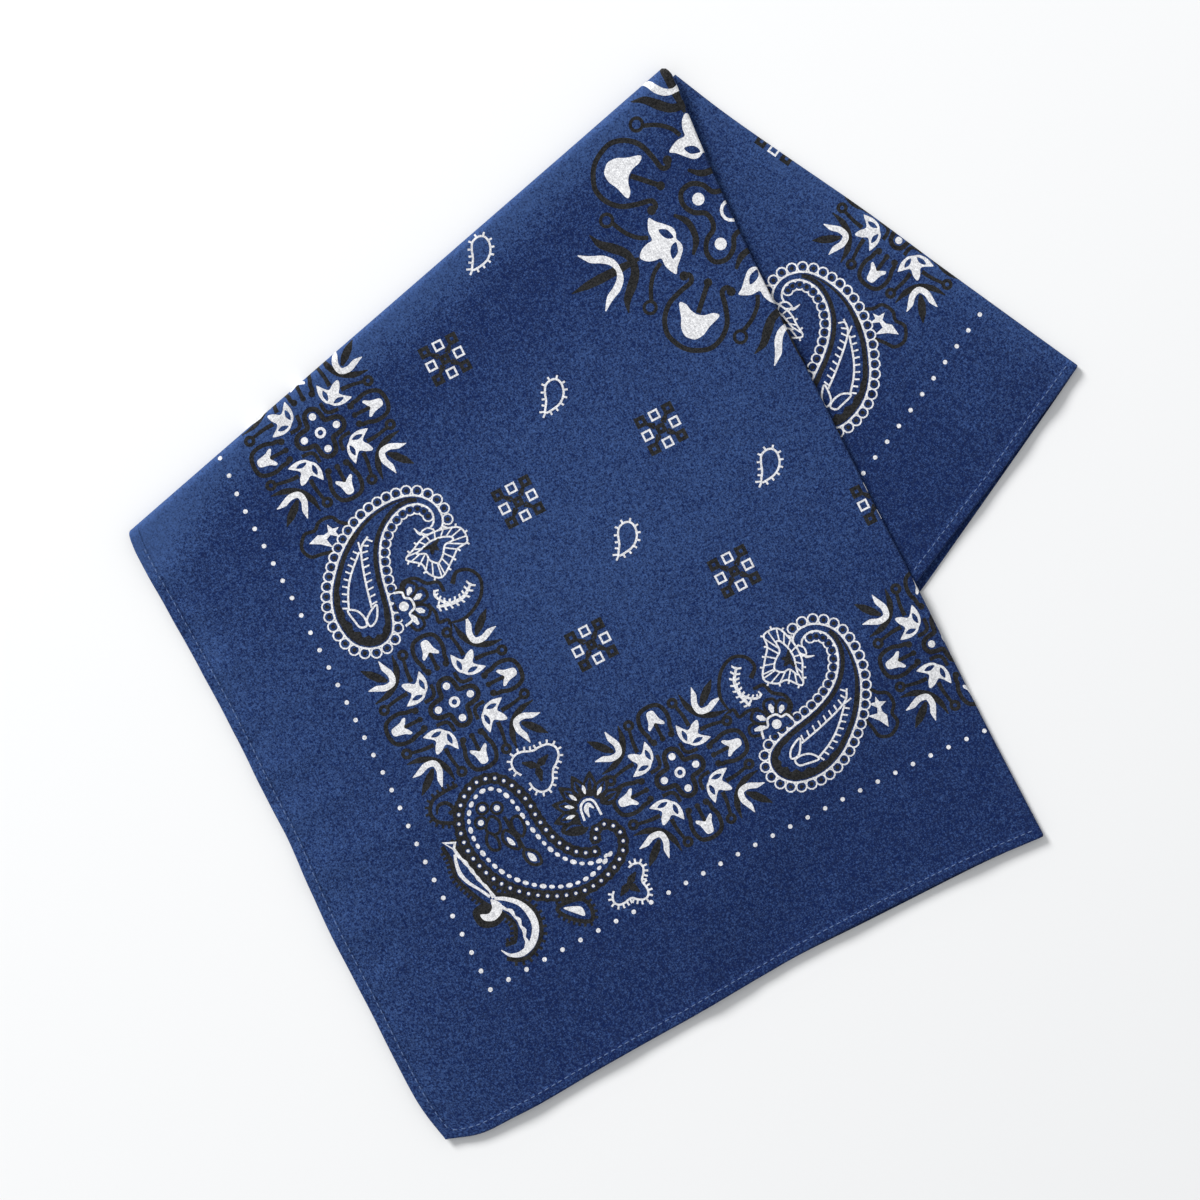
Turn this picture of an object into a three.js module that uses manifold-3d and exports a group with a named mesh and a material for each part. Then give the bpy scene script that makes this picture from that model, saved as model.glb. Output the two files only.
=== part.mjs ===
// A square cotton bandana, folded in quarters a little askew and laid flat. Millimetres, +Z up.
// The plan is worked out in u, along the front panel's lower hem, and v, along its left hem. The object's
// X and Y run the same way, from the middle of the box round the folded cloth, and Z = 0 is the surface below.
import * as THREE from 'three';
import { mergeVertices } from 'three/addons/utils/BufferGeometryUtils.js';
import Module from 'manifold-3d';

const wall = 1.1; // one layer of cloth with its loft
const gap = 0.3; // air between two layers, and at a seam
const pitch = wall + gap;
const hemWidth = 4.5; // the edge is turned twice
const hemRise = 0.6; // how far the turned edge stands above the panel
const middle = { u: 184.9, v: 171.9 };

// Corners of the folded cloth in plan. The flap is the stretch of the third layer that shows, and the hidden
// corner is the far corner of the two lower layers, under the front panel.
const plan = {
  low: point(-0.6, -0.3),
  right: point(274.1, -1.8),
  left: point(-3.0, 280.0),
  apex: point(279.7, 349.6),
  flapTip: point(374.4, 163.3),
  flapMeet: point(274.2, 113.8),
  hiddenCorner: point(133.5, 38),
  hiddenLeft: point(10.5, 282),
};

// How far each edge of the front panel bows away from its straight line, measured outwards
const lowerHemBow = smoothTable([
  { at: 0, out: 0.3 },
  { at: 14, out: 4.8 },
  { at: 29, out: 5.1 },
  { at: 43, out: 5.0 },
  { at: 72, out: 3.3 },
  { at: 96, out: 2.4 },
  { at: 110, out: 2.0 },
  { at: 124, out: 1.2 },
  { at: 143, out: 0.1 },
  { at: 165, out: -0.9 },
  { at: 192, out: -1.2 },
  { at: 215, out: -1.1 },
  { at: 244, out: -0.5 },
  { at: 260, out: 0.6 },
  { at: 274, out: 1.7 },
]);
const leftHemBow = smoothTable([
  { at: 0, out: 0.6 },
  { at: 14, out: 3.4 },
  { at: 29, out: 4.3 },
  { at: 60, out: 4.1 },
  { at: 98, out: 4.2 },
  { at: 115, out: 3.4 },
  { at: 140, out: 2.0 },
  { at: 156, out: 2.2 },
  { at: 186, out: 1.8 },
  { at: 215, out: 2.2 },
  { at: 244, out: 3.1 },
  { at: 270, out: 3.8 },
  { at: 281, out: 2.6 },
]);
const rightFoldBow = smoothTable([
  { at: -2, out: 274.1 },
  { at: 49, out: 273.7 },
  { at: 107, out: 274.1 },
  { at: 153, out: 274.0 },
  { at: 230, out: 274.9 },
  { at: 277, out: 275.8 },
  { at: 300, out: 277.0 },
  { at: 320, out: 278.3 },
  { at: 343, out: 280.2 },
  { at: 350, out: 279.7 },
]);
const flapHemBow = smoothTable([
  { at: 0, out: 0 },
  { at: 28, out: 0.1 },
  { at: 56, out: 0.6 },
  { at: 84, out: 0.1 },
  { at: 112, out: -0.4 },
  { at: 125, out: -1.2 },
]);
// How far the flap's crease bows out, by the distance from the apex
const creaseBow = smoothTable([
  { at: 0, out: 0 },
  { at: 30, out: -1.0 },
  { at: 60, out: -0.6 },
  { at: 100, out: 0.3 },
  { at: 140, out: 0 },
  { at: 209, out: 0 },
]);
// How far the second layer's lower hem stands out from under the front panel's
const innerLowerPeek = smoothTable([
  { at: 0, out: -0.8 },
  { at: 130, out: -0.5 },
  { at: 165, out: 0.3 },
  { at: 205, out: 1.0 },
  { at: 250, out: 0.4 },
  { at: 274, out: -0.4 },
]);

// Puckers that the hem stitching draws into the front panel: where each sits along its hem, how high it
// stands, its half width along the hem and how far it reaches into the panel
const leftHemPuckers = [
  { at: 22, rise: 0.5, half: 7, reach: 20 },
  { at: 47, rise: 0.7, half: 6, reach: 26 },
  { at: 70, rise: 0.6, half: 5, reach: 22 },
  { at: 92, rise: 0.9, half: 7, reach: 38 },
  { at: 121, rise: 1.3, half: 8, reach: 52 },
  { at: 146, rise: 0.9, half: 6, reach: 34 },
  { at: 166, rise: 1.0, half: 6, reach: 30 },
  { at: 189, rise: 0.7, half: 7, reach: 26 },
  { at: 213, rise: 0.9, half: 6, reach: 24 },
  { at: 238, rise: 0.8, half: 6, reach: 22 },
  { at: 258, rise: 0.6, half: 5, reach: 18 },
];
const lowerHemPuckers = [
  { at: 34, rise: 0.5, half: 10, reach: 18 },
  { at: 78, rise: 0.4, half: 12, reach: 14 },
  { at: 131, rise: 0.5, half: 11, reach: 20 },
  { at: 187, rise: 0.4, half: 13, reach: 16 },
  { at: 243, rise: 0.5, half: 10, reach: 18 },
];
const flapHemPuckers = [
  { at: 18, rise: 0.4, half: 7, reach: 16 },
  { at: 43, rise: 0.5, half: 8, reach: 22 },
  { at: 71, rise: 0.4, half: 8, reach: 18 },
];
// Broad swells of the front panel: centre, half length and half width, turn in degrees and height
const frontSwells = [
  { u: 150, v: 205, long: 95, wide: 55, turn: 14, rise: 1.3 },
  { u: 205, v: 95, long: 80, wide: 45, turn: -60, rise: 0.6 },
  { u: 62, v: 120, long: 48, wide: 22, turn: 8, rise: 0.7 },
  { u: 100, v: 60, long: 60, wide: 30, turn: 30, rise: 0.5 },
];
const flapSwells = [
  { u: 325, v: 215, long: 60, wide: 16, turn: -63, rise: 0.7 },
  { u: 342, v: 168, long: 26, wide: 14, turn: 20, rise: 0.5 },
];
const topFold = { lift: 0.9, width: 9 }; // soft roll kept by the top-left fold
const apexPinch = { lift: 2.4, reach: 42 }; // cloth gathered where the folds meet
const rightFold = { lift: 1.1, width: 26, from: 120, full: 270 }; // rise of the right fold over the flap
const stepDrape = 38; // the front panel comes down this far outside the two lower layers' hems

const topFoldAlong = plan.apex.clone().sub(plan.left).normalize();
const topFoldOut = point(-topFoldAlong.y, topFoldAlong.x);
const creaseAlong = plan.flapTip.clone().sub(plan.apex).normalize();
const creaseOut = point(-creaseAlong.y, creaseAlong.x);
const rollBack = 2.3; // the top-left fold's roll ends this far before the apex
const creaseStart = 5; // the flap's crease begins this far from the apex
const flapHidden = 9; // the flap's cloth runs on this far under the front panel
const hemClear = 1.1; // the flap's hem ends this far before the front panel's fold
const rightRadius = pitch / 2;
const innerFlapPeek = 0.6; // the bottom layer's hem shows this far beyond the flap's
const flatness = 0.01; // faces that lie this close to one plane are joined

const cotton = {
  front: new THREE.MeshStandardMaterial({ color: 0x27447a, roughness: 0.92, metalness: 0 }),
  flap: new THREE.MeshStandardMaterial({ color: 0x243f72, roughness: 0.92, metalness: 0 }),
  hem: new THREE.MeshStandardMaterial({ color: 0x2b4c88, roughness: 0.9, metalness: 0 }),
  inner: new THREE.MeshStandardMaterial({ color: 0x2a4270, roughness: 0.94, metalness: 0 }),
};

function point(u, v) {
  return new THREE.Vector2(u, v);
}

function mix(from, to, share) {
  return from + (to - from) * share;
}

function bump(distance, half) {
  return Math.exp(-((distance / half) ** 2));
}

// A smooth curve through the rows of a table, read at any place between them
function smoothTable(rows) {
  const slope = rows.map((row, i) => {
    const before = rows[Math.max(i - 1, 0)];
    const after = rows[Math.min(i + 1, rows.length - 1)];
    return (after.out - before.out) / (after.at - before.at);
  });
  return (at) => {
    const place = THREE.MathUtils.clamp(at, rows[0].at, rows.at(-1).at);
    const found = rows.findIndex((row) => row.at >= place);
    const i = Math.max(found, 1);
    const step = rows[i].at - rows[i - 1].at;
    const t = (place - rows[i - 1].at) / step;
    const rest = 1 - t;
    const start = rows[i - 1].out * (1 + 2 * t) * rest * rest + slope[i - 1] * step * t * rest * rest;
    return start + rows[i].out * (3 - 2 * t) * t * t - slope[i] * step * rest * t * t;
  };
}

// Height of the puckers at a distance along and in from a hem
function puckerHeight(rows, along, inward) {
  return rows.reduce(
    (sum, row) => sum + row.rise * bump(along - row.at, row.half) * bump(Math.max(inward, 0), row.reach),
    0,
  );
}

function swellHeight(rows, u, v) {
  return rows.reduce((sum, row) => {
    const turn = THREE.MathUtils.degToRad(row.turn);
    const long = (u - row.u) * Math.cos(turn) + (v - row.v) * Math.sin(turn);
    const wide = (v - row.v) * Math.cos(turn) - (u - row.u) * Math.sin(turn);
    return sum + row.rise * bump(long, row.long) * bump(wide, row.wide);
  }, 0);
}

// Signed distance of a plan point from the line through start and end, positive on the line's left
function leftOf(start, end, u, v) {
  const along = end.clone().sub(start).normalize();
  return along.x * (v - start.y) - along.y * (u - start.x);
}

// 1 where the two lower layers lie below the front panel, falling to 0 as the panel drapes off their hems
function lowerLayersBelow(u, v) {
  const pastLowerHem = leftOf(plan.hiddenCorner, plan.flapMeet, u, v);
  const pastLeftHem = -leftOf(plan.hiddenCorner, plan.hiddenLeft, u, v);
  return THREE.MathUtils.smoothstep(Math.min(pastLowerHem, pastLeftHem), -stepDrape, 0);
}

// Height of the front panel's underside
function frontUnder(u, v) {
  const fromTopFold = Math.max(-leftOf(plan.left, plan.apex, u, v), 0);
  const fromRightFold = Math.max(rightFoldBow(v) - u, 0);
  const fromApex = Math.hypot(u - plan.apex.x, v - plan.apex.y);
  const overFlap = THREE.MathUtils.smoothstep(v, rightFold.from, rightFold.full);
  const stack = pitch + 2 * pitch * lowerLayersBelow(u, v);
  const folds =
    topFold.lift * bump(fromTopFold, topFold.width) +
    apexPinch.lift * bump(fromApex, apexPinch.reach) +
    rightFold.lift * overFlap * bump(fromRightFold, rightFold.width);
  const inland = 1 - bump(fromTopFold, 30);
  const swells = swellHeight(frontSwells, u, v) * inland;
  const puckers =
    puckerHeight(leftHemPuckers, v, u + leftHemBow(v)) +
    puckerHeight(lowerHemPuckers, u, v + lowerHemBow(u)) * (1 - bump(fromRightFold, 20));
  return stack + folds + swells + puckers;
}

// Height of the flap's underside; the flap lies flat where the front panel's fold rests on it
function flapUnder(u, v) {
  const fromFold = u - rightFoldBow(v);
  const clear = THREE.MathUtils.smoothstep(fromFold, 3, 26);
  const fromCrease = Math.max(leftOf(plan.flapTip, plan.apex, u, v), 0);
  const soft = 1 - bump(fromCrease, 9);
  const along = Math.hypot(u - plan.flapTip.x, v - plan.flapTip.y);
  const fromHem = -leftOf(plan.flapTip, plan.flapMeet, u, v);
  const puckers = puckerHeight(flapHemPuckers, along, Math.abs(fromHem));
  return pitch + (swellHeight(flapSwells, u, v) + puckers) * clear * soft;
}

// A patch between four edge curves, each a function of 0 to 1; a runs with bottom and top, b with left and right
function patch(bottom, top, left, right) {
  const corners = [bottom(0), bottom(1), top(0), top(1)];
  return (a, b) => {
    const blended = (key) =>
      mix(bottom(a)[key], top(a)[key], b) +
      mix(left(b)[key], right(b)[key], a) -
      mix(mix(corners[0][key], corners[1][key], a), mix(corners[2][key], corners[3][key], a), b);
    return point(blended('x'), blended('y'));
  };
}

// The front panel's plan: from the outer edges of its two hems to the lines where its two folds begin to roll
const frontPlan = (() => {
  const foldEnd = plan.apex.clone().addScaledVector(topFoldAlong, -rollBack);
  const top = (a) => {
    const edge = plan.left.clone().lerp(foldEnd, a);
    const near = edge.clone().addScaledVector(topFoldOut, -2 * pitch);
    const inset = frontUnder(near.x, near.y) / 2 + wall / 2;
    return edge.addScaledVector(topFoldOut, -inset);
  };
  const apex = top(1);
  const left = (b) => {
    const v = mix(plan.low.y, top(0).y, b);
    return point(-leftHemBow(v), v);
  };
  const start = left(0);
  const bottom = (a) => {
    const u = mix(start.x, plan.right.x - rightRadius - wall / 2, a);
    return point(u, -lowerHemBow(u));
  };
  const right = (b) => {
    const v = mix(bottom(1).y, apex.y, b);
    const u = rightFoldBow(v) - rightRadius - wall / 2;
    return point(u + (apex.x - (rightFoldBow(apex.y) - rightRadius - wall / 2)) * b ** 6, v);
  };
  const leftTop = top(0);
  const leftFit = (b) => left(b).add(point((leftTop.x - left(1).x) * b ** 6, 0));
  return patch(bottom, top, leftFit, right);
})();

// A turn is a place in the cloth and how far it has gone round each of its folds, in radians
function frontTurn({ a, b, overTop = 0, overRight = 0 }) {
  const base = frontPlan(a, b);
  const mid = frontUnder(base.x, base.y) + wall / 2;
  const radius = (mid - wall / 2) / 2;
  const spot = new THREE.Vector3(base.x, base.y, mid);
  const up = new THREE.Vector3(0, 0, 1);
  const outTop = new THREE.Vector3(topFoldOut.x, topFoldOut.y, 0);
  spot.addScaledVector(outTop, radius * Math.sin(overTop));
  spot.addScaledVector(up, -radius * (1 - Math.cos(overTop)));
  const normal = up.clone().multiplyScalar(Math.cos(overTop)).addScaledVector(outTop, Math.sin(overTop));
  const share = THREE.MathUtils.smoothstep(b, 0.8, 1);
  const outRight = new THREE.Vector3(mix(1, topFoldAlong.x, share), mix(0, topFoldAlong.y, share), 0).normalize();
  spot.addScaledVector(outRight, rightRadius * Math.sin(overRight));
  spot.addScaledVector(normal, -rightRadius * (1 - Math.cos(overRight)));
  const facing = normal.multiplyScalar(Math.cos(overRight)).addScaledVector(outRight, Math.sin(overRight));
  return { spot, facing };
}

// The flap's plan: from under the front panel to the line where its crease begins to roll, and from its hem's
// outer edge up to where the crease begins near the apex
const flapPlan = (() => {
  const inset = pitch / 2 + wall / 2;
  const creaseEdge = (distance) =>
    plan.apex
      .clone()
      .addScaledVector(creaseAlong, distance)
      .addScaledVector(creaseOut, creaseBow(distance) - inset);
  const creaseLength = plan.apex.distanceTo(plan.flapTip);
  const right = (b) => creaseEdge(mix(creaseLength, creaseStart, b));
  const tip = right(0);
  const hemAlong = plan.flapMeet.clone().sub(plan.flapTip).normalize();
  const hemOut = point(-hemAlong.y, hemAlong.x);
  const hemLength = plan.flapTip.distanceTo(plan.flapMeet) + flapHidden;
  const bottom = (a) => {
    const distance = mix(hemLength, 0, a);
    return tip.clone().addScaledVector(hemAlong, distance).addScaledVector(hemOut, flapHemBow(distance));
  };
  const hiddenTop = point(rightFoldBow(336) - flapHidden, 336);
  const left = (b) => bottom(0).lerp(hiddenTop, b);
  const top = (a) => hiddenTop.clone().lerp(right(1), a);
  return patch(bottom, top, left, right);
})();

function flapTurn({ a, b, overCrease = 0 }) {
  const base = flapPlan(a, b);
  const mid = flapUnder(base.x, base.y) + wall / 2;
  const radius = (mid - wall / 2) / 2;
  const out = new THREE.Vector3(creaseOut.x, creaseOut.y, 0);
  const spot = new THREE.Vector3(base.x, base.y, mid);
  spot.addScaledVector(out, radius * Math.sin(overCrease));
  spot.z -= radius * (1 - Math.cos(overCrease));
  const facing = new THREE.Vector3(0, 0, Math.cos(overCrease)).addScaledVector(out, Math.sin(overCrease));
  return { spot, facing };
}

// Length of a patch along a at one b, or along b at one a, so that hem widths hold in millimetres
function acrossLength(plan2d, b) {
  return plan2d(0, b).distanceTo(plan2d(1, b));
}

function upLength(plan2d, a) {
  return plan2d(a, 0).distanceTo(plan2d(a, 1));
}

// Evenly spaced values from one number to another, both ends included
function steps(from, to, count) {
  return Array.from({ length: count + 1 }, (_, i) => mix(from, to, i / count));
}

// Closed body from a grid of points that goes round the section; closed sections join their last column to
// their first, and the first and last rows are capped
function sweptBody(rows) {
  const across = rows[0].length;
  const positions = rows.flat().flatMap((spot) => [spot.x, spot.y, spot.z]);
  const index = [];
  for (let i = 0; i < rows.length - 1; i += 1) {
    for (let j = 0; j < across; j += 1) {
      const next = (j + 1) % across;
      const [p, q, r, s] = [i * across + j, i * across + next, (i + 1) * across + next, (i + 1) * across + j];
      index.push(p, q, r, p, r, s);
    }
  }
  const last = (rows.length - 1) * across;
  for (let j = 1; j < across - 1; j += 1) {
    index.push(0, j + 1, j);
    index.push(last, last + j, last + j + 1);
  }
  return facingOut(positions, index);
}

// Closed body between two grids of equal size, the first above the second, with walls round the rim
function platedBody(upper, lower) {
  const rows = upper.length;
  const across = upper[0].length;
  const count = rows * across;
  const positions = [...upper.flat(), ...lower.flat()].flatMap((spot) => [spot.x, spot.y, spot.z]);
  const index = [];
  for (let i = 0; i < rows - 1; i += 1) {
    for (let j = 0; j < across - 1; j += 1) {
      const [p, q, r, s] = [i * across + j, i * across + j + 1, (i + 1) * across + j + 1, (i + 1) * across + j];
      index.push(p, q, r, p, r, s);
      index.push(count + p, count + r, count + q, count + p, count + s, count + r);
    }
  }
  const rim = [];
  for (let j = 0; j < across - 1; j += 1) rim.push(j);
  for (let i = 0; i < rows - 1; i += 1) rim.push(i * across + across - 1);
  for (let j = across - 1; j > 0; j -= 1) rim.push((rows - 1) * across + j);
  for (let i = rows - 1; i > 0; i -= 1) rim.push(i * across);
  rim.forEach((p, k) => {
    const q = rim[(k + 1) % rim.length];
    index.push(p, count + p, count + q, p, count + q, q);
  });
  return facingOut(positions, index);
}

function facingOut(positions, index) {
  let volume = 0;
  const at = (i) => new THREE.Vector3().fromArray(positions, 3 * i);
  for (let i = 0; i < index.length; i += 3) {
    volume += at(index[i]).dot(at(index[i + 1]).cross(at(index[i + 2])));
  }
  if (volume < 0) index.reverse();
  const geometry = new THREE.BufferGeometry();
  geometry.setAttribute('position', new THREE.Float32BufferAttribute(positions, 3));
  geometry.setIndex(index);
  return geometry;
}

// A wall of cloth round the middle surface that the turns describe
function clothWall(turns, surface) {
  const grid = turns.map((row) => row.map(surface));
  const face = (side) =>
    grid.map((row) => row.map(({ spot, facing }) => spot.clone().addScaledVector(facing, (side * wall) / 2)));
  return platedBody(face(1), face(-1));
}

const halfTurn = steps(0, Math.PI, 6).slice(1);

// The front panel's grid, closer where the hem stitching puckers it and where it comes to its folds
const frontColumns = [0, 0.03, 0.07, 0.12, 0.18, 0.25, ...steps(0.33, 0.94, 8), 1];
const frontRows = [0, 0.025, ...steps(0.05, 0.95, 38), 0.97, 0.985, 1];

function frontPlace(across, up) {
  const a = mix((hemWidth + gap) / acrossLength(frontPlan, up), 1, across);
  const b = mix((hemWidth + gap) / upLength(frontPlan, a), 1, up);
  return { a, b };
}

function frontPanel() {
  const columns = [
    ...frontColumns.map((share) => ({ share })),
    ...halfTurn.map((overRight) => ({ share: 1, overRight })),
  ];
  const rows = [
    ...frontRows.map((share) => ({ share })),
    ...halfTurn.map((overTop) => ({ share: 1, overTop })),
  ];
  const turns = rows.map(({ share: up, overTop }) =>
    columns.map(({ share: across, overRight }) => ({ ...frontPlace(across, up), overTop, overRight })),
  );
  return clothWall(turns, frontTurn);
}

function flapPanel() {
  const columns = [
    ...steps(0, 1, 13).map((share) => ({ share })),
    ...halfTurn.map((overCrease) => ({ share: 1, overCrease })),
  ];
  const turns = steps(0, 1, 20).map((up) =>
    columns.map(({ share: a, overCrease }) => {
      const b = mix((hemWidth + gap) / upLength(flapPlan, a), 1, up);
      return { a, b, overCrease };
    }),
  );
  return clothWall(turns, flapTurn);
}

// The turned edge in section: how far in from the cloth's edge, and how far up its thickness
const hemSection = [
  { inward: 0.0, up: 0.5 },
  { inward: 0.5, up: 0.92 },
  { inward: 2.3, up: 1.0 },
  { inward: 4.0, up: 0.92 },
  { inward: 4.5, up: 0.62 },
  { inward: 4.5, up: 0.1 },
  { inward: 4.2, up: 0.0 },
  { inward: 0.4, up: 0.0 },
];

// A hem is a thick strip on the same surface as its panel; it thins to the plain wall as it rounds a fold
function hem(stations, surface, turnAt, roundedBy) {
  const rows = stations.map((station) => {
    const thick = wall + hemRise * Math.max(Math.cos(roundedBy(station)), 0) ** 2;
    return hemSection.map(({ inward, up }) => {
      const { spot, facing } = surface(turnAt(station, inward));
      return spot.addScaledVector(facing, up * thick - wall / 2);
    });
  });
  return sweptBody(rows);
}

function frontLowerHem() {
  const stations = [
    { a: 0 },
    ...frontColumns.map((share) => ({ a: frontPlace(share, 0).a })),
    ...halfTurn.map((overRight) => ({ a: 1, overRight })),
  ];
  const turnAt = ({ a, overRight }, inward) => ({ a, b: inward / upLength(frontPlan, a), overRight });
  return hem(stations, frontTurn, turnAt, ({ overRight = 0 }) => overRight);
}

function frontLeftHem() {
  const stations = [
    ...frontRows.map((share) => ({ b: frontPlace(0, share).b })),
    ...halfTurn.map((overTop) => ({ b: 1, overTop })),
  ];
  const turnAt = ({ b, overTop }, inward) => ({ a: inward / acrossLength(frontPlan, b), b, overTop });
  return hem(stations, frontTurn, turnAt, ({ overTop = 0 }) => overTop);
}

function flapHem() {
  const shown = acrossLength(flapPlan, 0);
  const start = (flapHidden + hemClear) / shown;
  const stations = [
    ...steps(start, 1, 18).map((a) => ({ a })),
    ...halfTurn.map((overCrease) => ({ a: 1, overCrease })),
  ];
  const turnAt = ({ a, overCrease }, inward) => ({ a, b: inward / upLength(flapPlan, a), overCrease });
  return hem(stations, flapTurn, turnAt, ({ overCrease = 0 }) => overCrease);
}

// A solid on a grid of points with a flat underside at z = 0 and a side that goes down in rings. Each ring
// says how far one rim point is shifted in plan and its height.
function slabBody(spots, ringsAt) {
  const rows = spots.length;
  const across = spots[0].length;
  const id = (i, j) => i * across + j;
  const rim = [];
  for (let j = 0; j < across - 1; j += 1) rim.push([0, j]);
  for (let i = 0; i < rows - 1; i += 1) rim.push([i, across - 1]);
  for (let j = across - 1; j > 0; j -= 1) rim.push([rows - 1, j]);
  for (let i = rows - 1; i > 0; i -= 1) rim.push([i, 0]);
  const positions = spots.flat().flatMap((spot) => [spot.x, spot.y, spot.z]);
  const index = [];
  const addVertex = (x, y, z) => positions.push(x, y, z) / 3 - 1;
  const addGrid = (corner, flip) => {
    for (let i = 0; i < rows - 1; i += 1) {
      for (let j = 0; j < across - 1; j += 1) {
        const [p, q, r, s] = [corner(i, j), corner(i, j + 1), corner(i + 1, j + 1), corner(i + 1, j)];
        if (flip) index.push(p, r, q, p, s, r);
        else index.push(p, q, r, p, r, s);
      }
    }
  };
  addGrid(id, false);
  const sides = rim.map(([i, j]) => ringsAt(i, j, spots[i][j]));
  let previous = rim.map(([i, j]) => id(i, j));
  for (let k = 0; k < sides[0].length; k += 1) {
    const ring = rim.map(([i, j], n) => {
      const { out, z } = sides[n][k];
      return addVertex(spots[i][j].x + out.x, spots[i][j].y + out.y, z);
    });
    ring.forEach((q, n) => {
      const m = (n + 1) % ring.length;
      index.push(previous[n], q, ring[m], previous[n], ring[m], previous[m]);
    });
    previous = ring;
  }
  const below = new Map(rim.map(([i, j], n) => [id(i, j), previous[n]]));
  spots.forEach((row, i) => {
    row.forEach((spot, j) => {
      if (!below.has(id(i, j))) below.set(id(i, j), addVertex(spot.x, spot.y, 0));
    });
  });
  addGrid((i, j) => below.get(id(i, j)), true);
  return facingOut(positions, index);
}

const wasm = await Module();
wasm.setup();

function toSolid(geometry) {
  const merged = mergeVertices(geometry, 1e-5);
  return new wasm.Manifold(
    new wasm.Mesh({
      numProp: 3,
      vertProperties: new Float32Array(merged.attributes.position.array),
      triVerts: new Uint32Array(merged.index.array),
    }),
  );
}

function toGeometry(solid) {
  const mesh = solid.getMesh();
  const geometry = new THREE.BufferGeometry();
  geometry.setAttribute('position', new THREE.BufferAttribute(mesh.vertProperties, 3));
  geometry.setIndex(new THREE.BufferAttribute(mesh.triVerts, 1));
  return geometry;
}

// The layers under the front panel: at the two folds they end inside its rolls, at the hems they follow it
function layersUnderFront() {
  const edgeInset = 0.8;
  const spots = [-1, ...frontRows].map((up) =>
    [-1, ...frontColumns].map((across) => {
      const place = frontPlace(Math.max(across, 0), Math.max(up, 0));
      const a = across < 0 ? edgeInset / acrossLength(frontPlan, place.b) : place.a;
      const b = up < 0 ? edgeInset / upLength(frontPlan, place.a) : place.b;
      const nearFold = across === 1 ? gap / acrossLength(frontPlan, place.b) : 0;
      const base = frontPlan(a - nearFold, b);
      const peek = up < 0 ? innerLowerPeek(base.x) : 0;
      return new THREE.Vector3(base.x, base.y - peek, frontUnder(base.x, base.y) - gap);
    }),
  );
  const lastRow = spots.length - 1;
  const ringsAt = (i, j, spot) => {
    if (i === lastRow) return foldRings(spot.z);
    const facing = i === 0 ? point(0, -1) : point(j === 0 ? -1 : 0, 0);
    return layeredRings(spot.z, facing);
  };
  return slabBody(spots, ringsAt);
}

// The side of the layers at a hem: each layer's edge is round, with a groove between two layers that fades
// where only one layer is left
function layeredRings(top, facing) {
  const layered = THREE.MathUtils.smoothstep(top, wall + 0.3, 2 * pitch);
  const bulge = 0.35;
  const groove = -0.5 * layered;
  return [
    { share: 0.86, outward: bulge },
    { share: 0.667, outward: mix(bulge, groove, layered) },
    { share: 0.5, outward: bulge },
    { share: 0.333, outward: mix(bulge, groove, layered) },
    { share: 0.14, outward: bulge },
    { share: 0, outward: 0 },
  ].map(({ share, outward }) => ({ out: facing.clone().multiplyScalar(outward), z: share * top }));
}

// The side of the layers in the top-left fold: the second and third layer turn into each other, and the
// bottom layer ends where the front panel, rolled under, meets it
function foldRings(top) {
  const centre = (top + pitch) / 2;
  const reach = centre - pitch;
  const turned = steps(0, Math.PI, 4).slice(1);
  const round = turned.map((turn) => ({
    out: topFoldOut.clone().multiplyScalar(reach * Math.sin(turn)),
    z: centre + reach * Math.cos(turn),
  }));
  const end = topFoldOut.clone().multiplyScalar(-gap);
  return [...round, { out: end, z: wall }, { out: end, z: 0 }];
}

// The bottom layer where the flap lies on it; its hem stands a little out from under the flap's
function layerUnderFlap() {
  const under = 6;
  const columns = 8;
  const spots = steps(0, 1, 8).map((b) =>
    steps(0, 1, columns).map((share) => {
      const across = acrossLength(flapPlan, b);
      const base = flapPlan(mix(-under, across - gap, share) / across, b);
      return new THREE.Vector3(base.x, base.y, wall);
    }),
  );
  const hemAlong = plan.flapMeet.clone().sub(plan.flapTip).normalize();
  const ringsAt = (i, j) => {
    const peek = i === 0 ? Math.sin((Math.PI * j) / columns) : 0;
    const out = point(-hemAlong.y, hemAlong.x).multiplyScalar(innerFlapPeek * peek);
    return [{ out, z: wall * 0.7 }, { out, z: wall * 0.3 }, { out: point(0, 0), z: 0 }];
  };
  return slabBody(spots, ringsAt);
}

// Room for the flap's cloth where it runs on under the front panel
function flapClearance() {
  const grid = (z) =>
    steps(0, 1, 8).map((up) =>
      steps(0, 1, 10).map((across) => {
        const height = upLength(flapPlan, across);
        const b = mix(hemWidth / height, 1 + gap / height, up);
        const a = mix(-gap / acrossLength(flapPlan, b), 1, across);
        const base = flapPlan(a, b);
        return new THREE.Vector3(base.x, base.y, z);
      }),
    );
  return platedBody(grid(2 * pitch), grid(wall));
}

function innerLayers() {
  const front = toSolid(layersUnderFront());
  const flap = toSolid(layerUnderFlap());
  const room = toSolid(flapClearance());
  return toGeometry(front.subtract(room).add(flap).simplify(flatness));
}

const bandana = new THREE.Group();

function addPiece(name, geometry, material) {
  const mesh = new THREE.Mesh(geometry, material);
  mesh.name = name;
  mesh.position.set(-middle.u, -middle.v, 0);
  bandana.add(mesh);
}

addPiece('inner_layers', innerLayers(), cotton.inner);
addPiece('flap_panel', flapPanel(), cotton.flap);
addPiece('hem_flap', flapHem(), cotton.hem);
addPiece('front_panel', frontPanel(), cotton.front);
addPiece('hem_front_lower', frontLowerHem(), cotton.hem);
addPiece('hem_front_left', frontLeftHem(), cotton.hem);

export default bandana;
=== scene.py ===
import bpy
import numpy as np
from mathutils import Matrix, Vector, geometry


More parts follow.
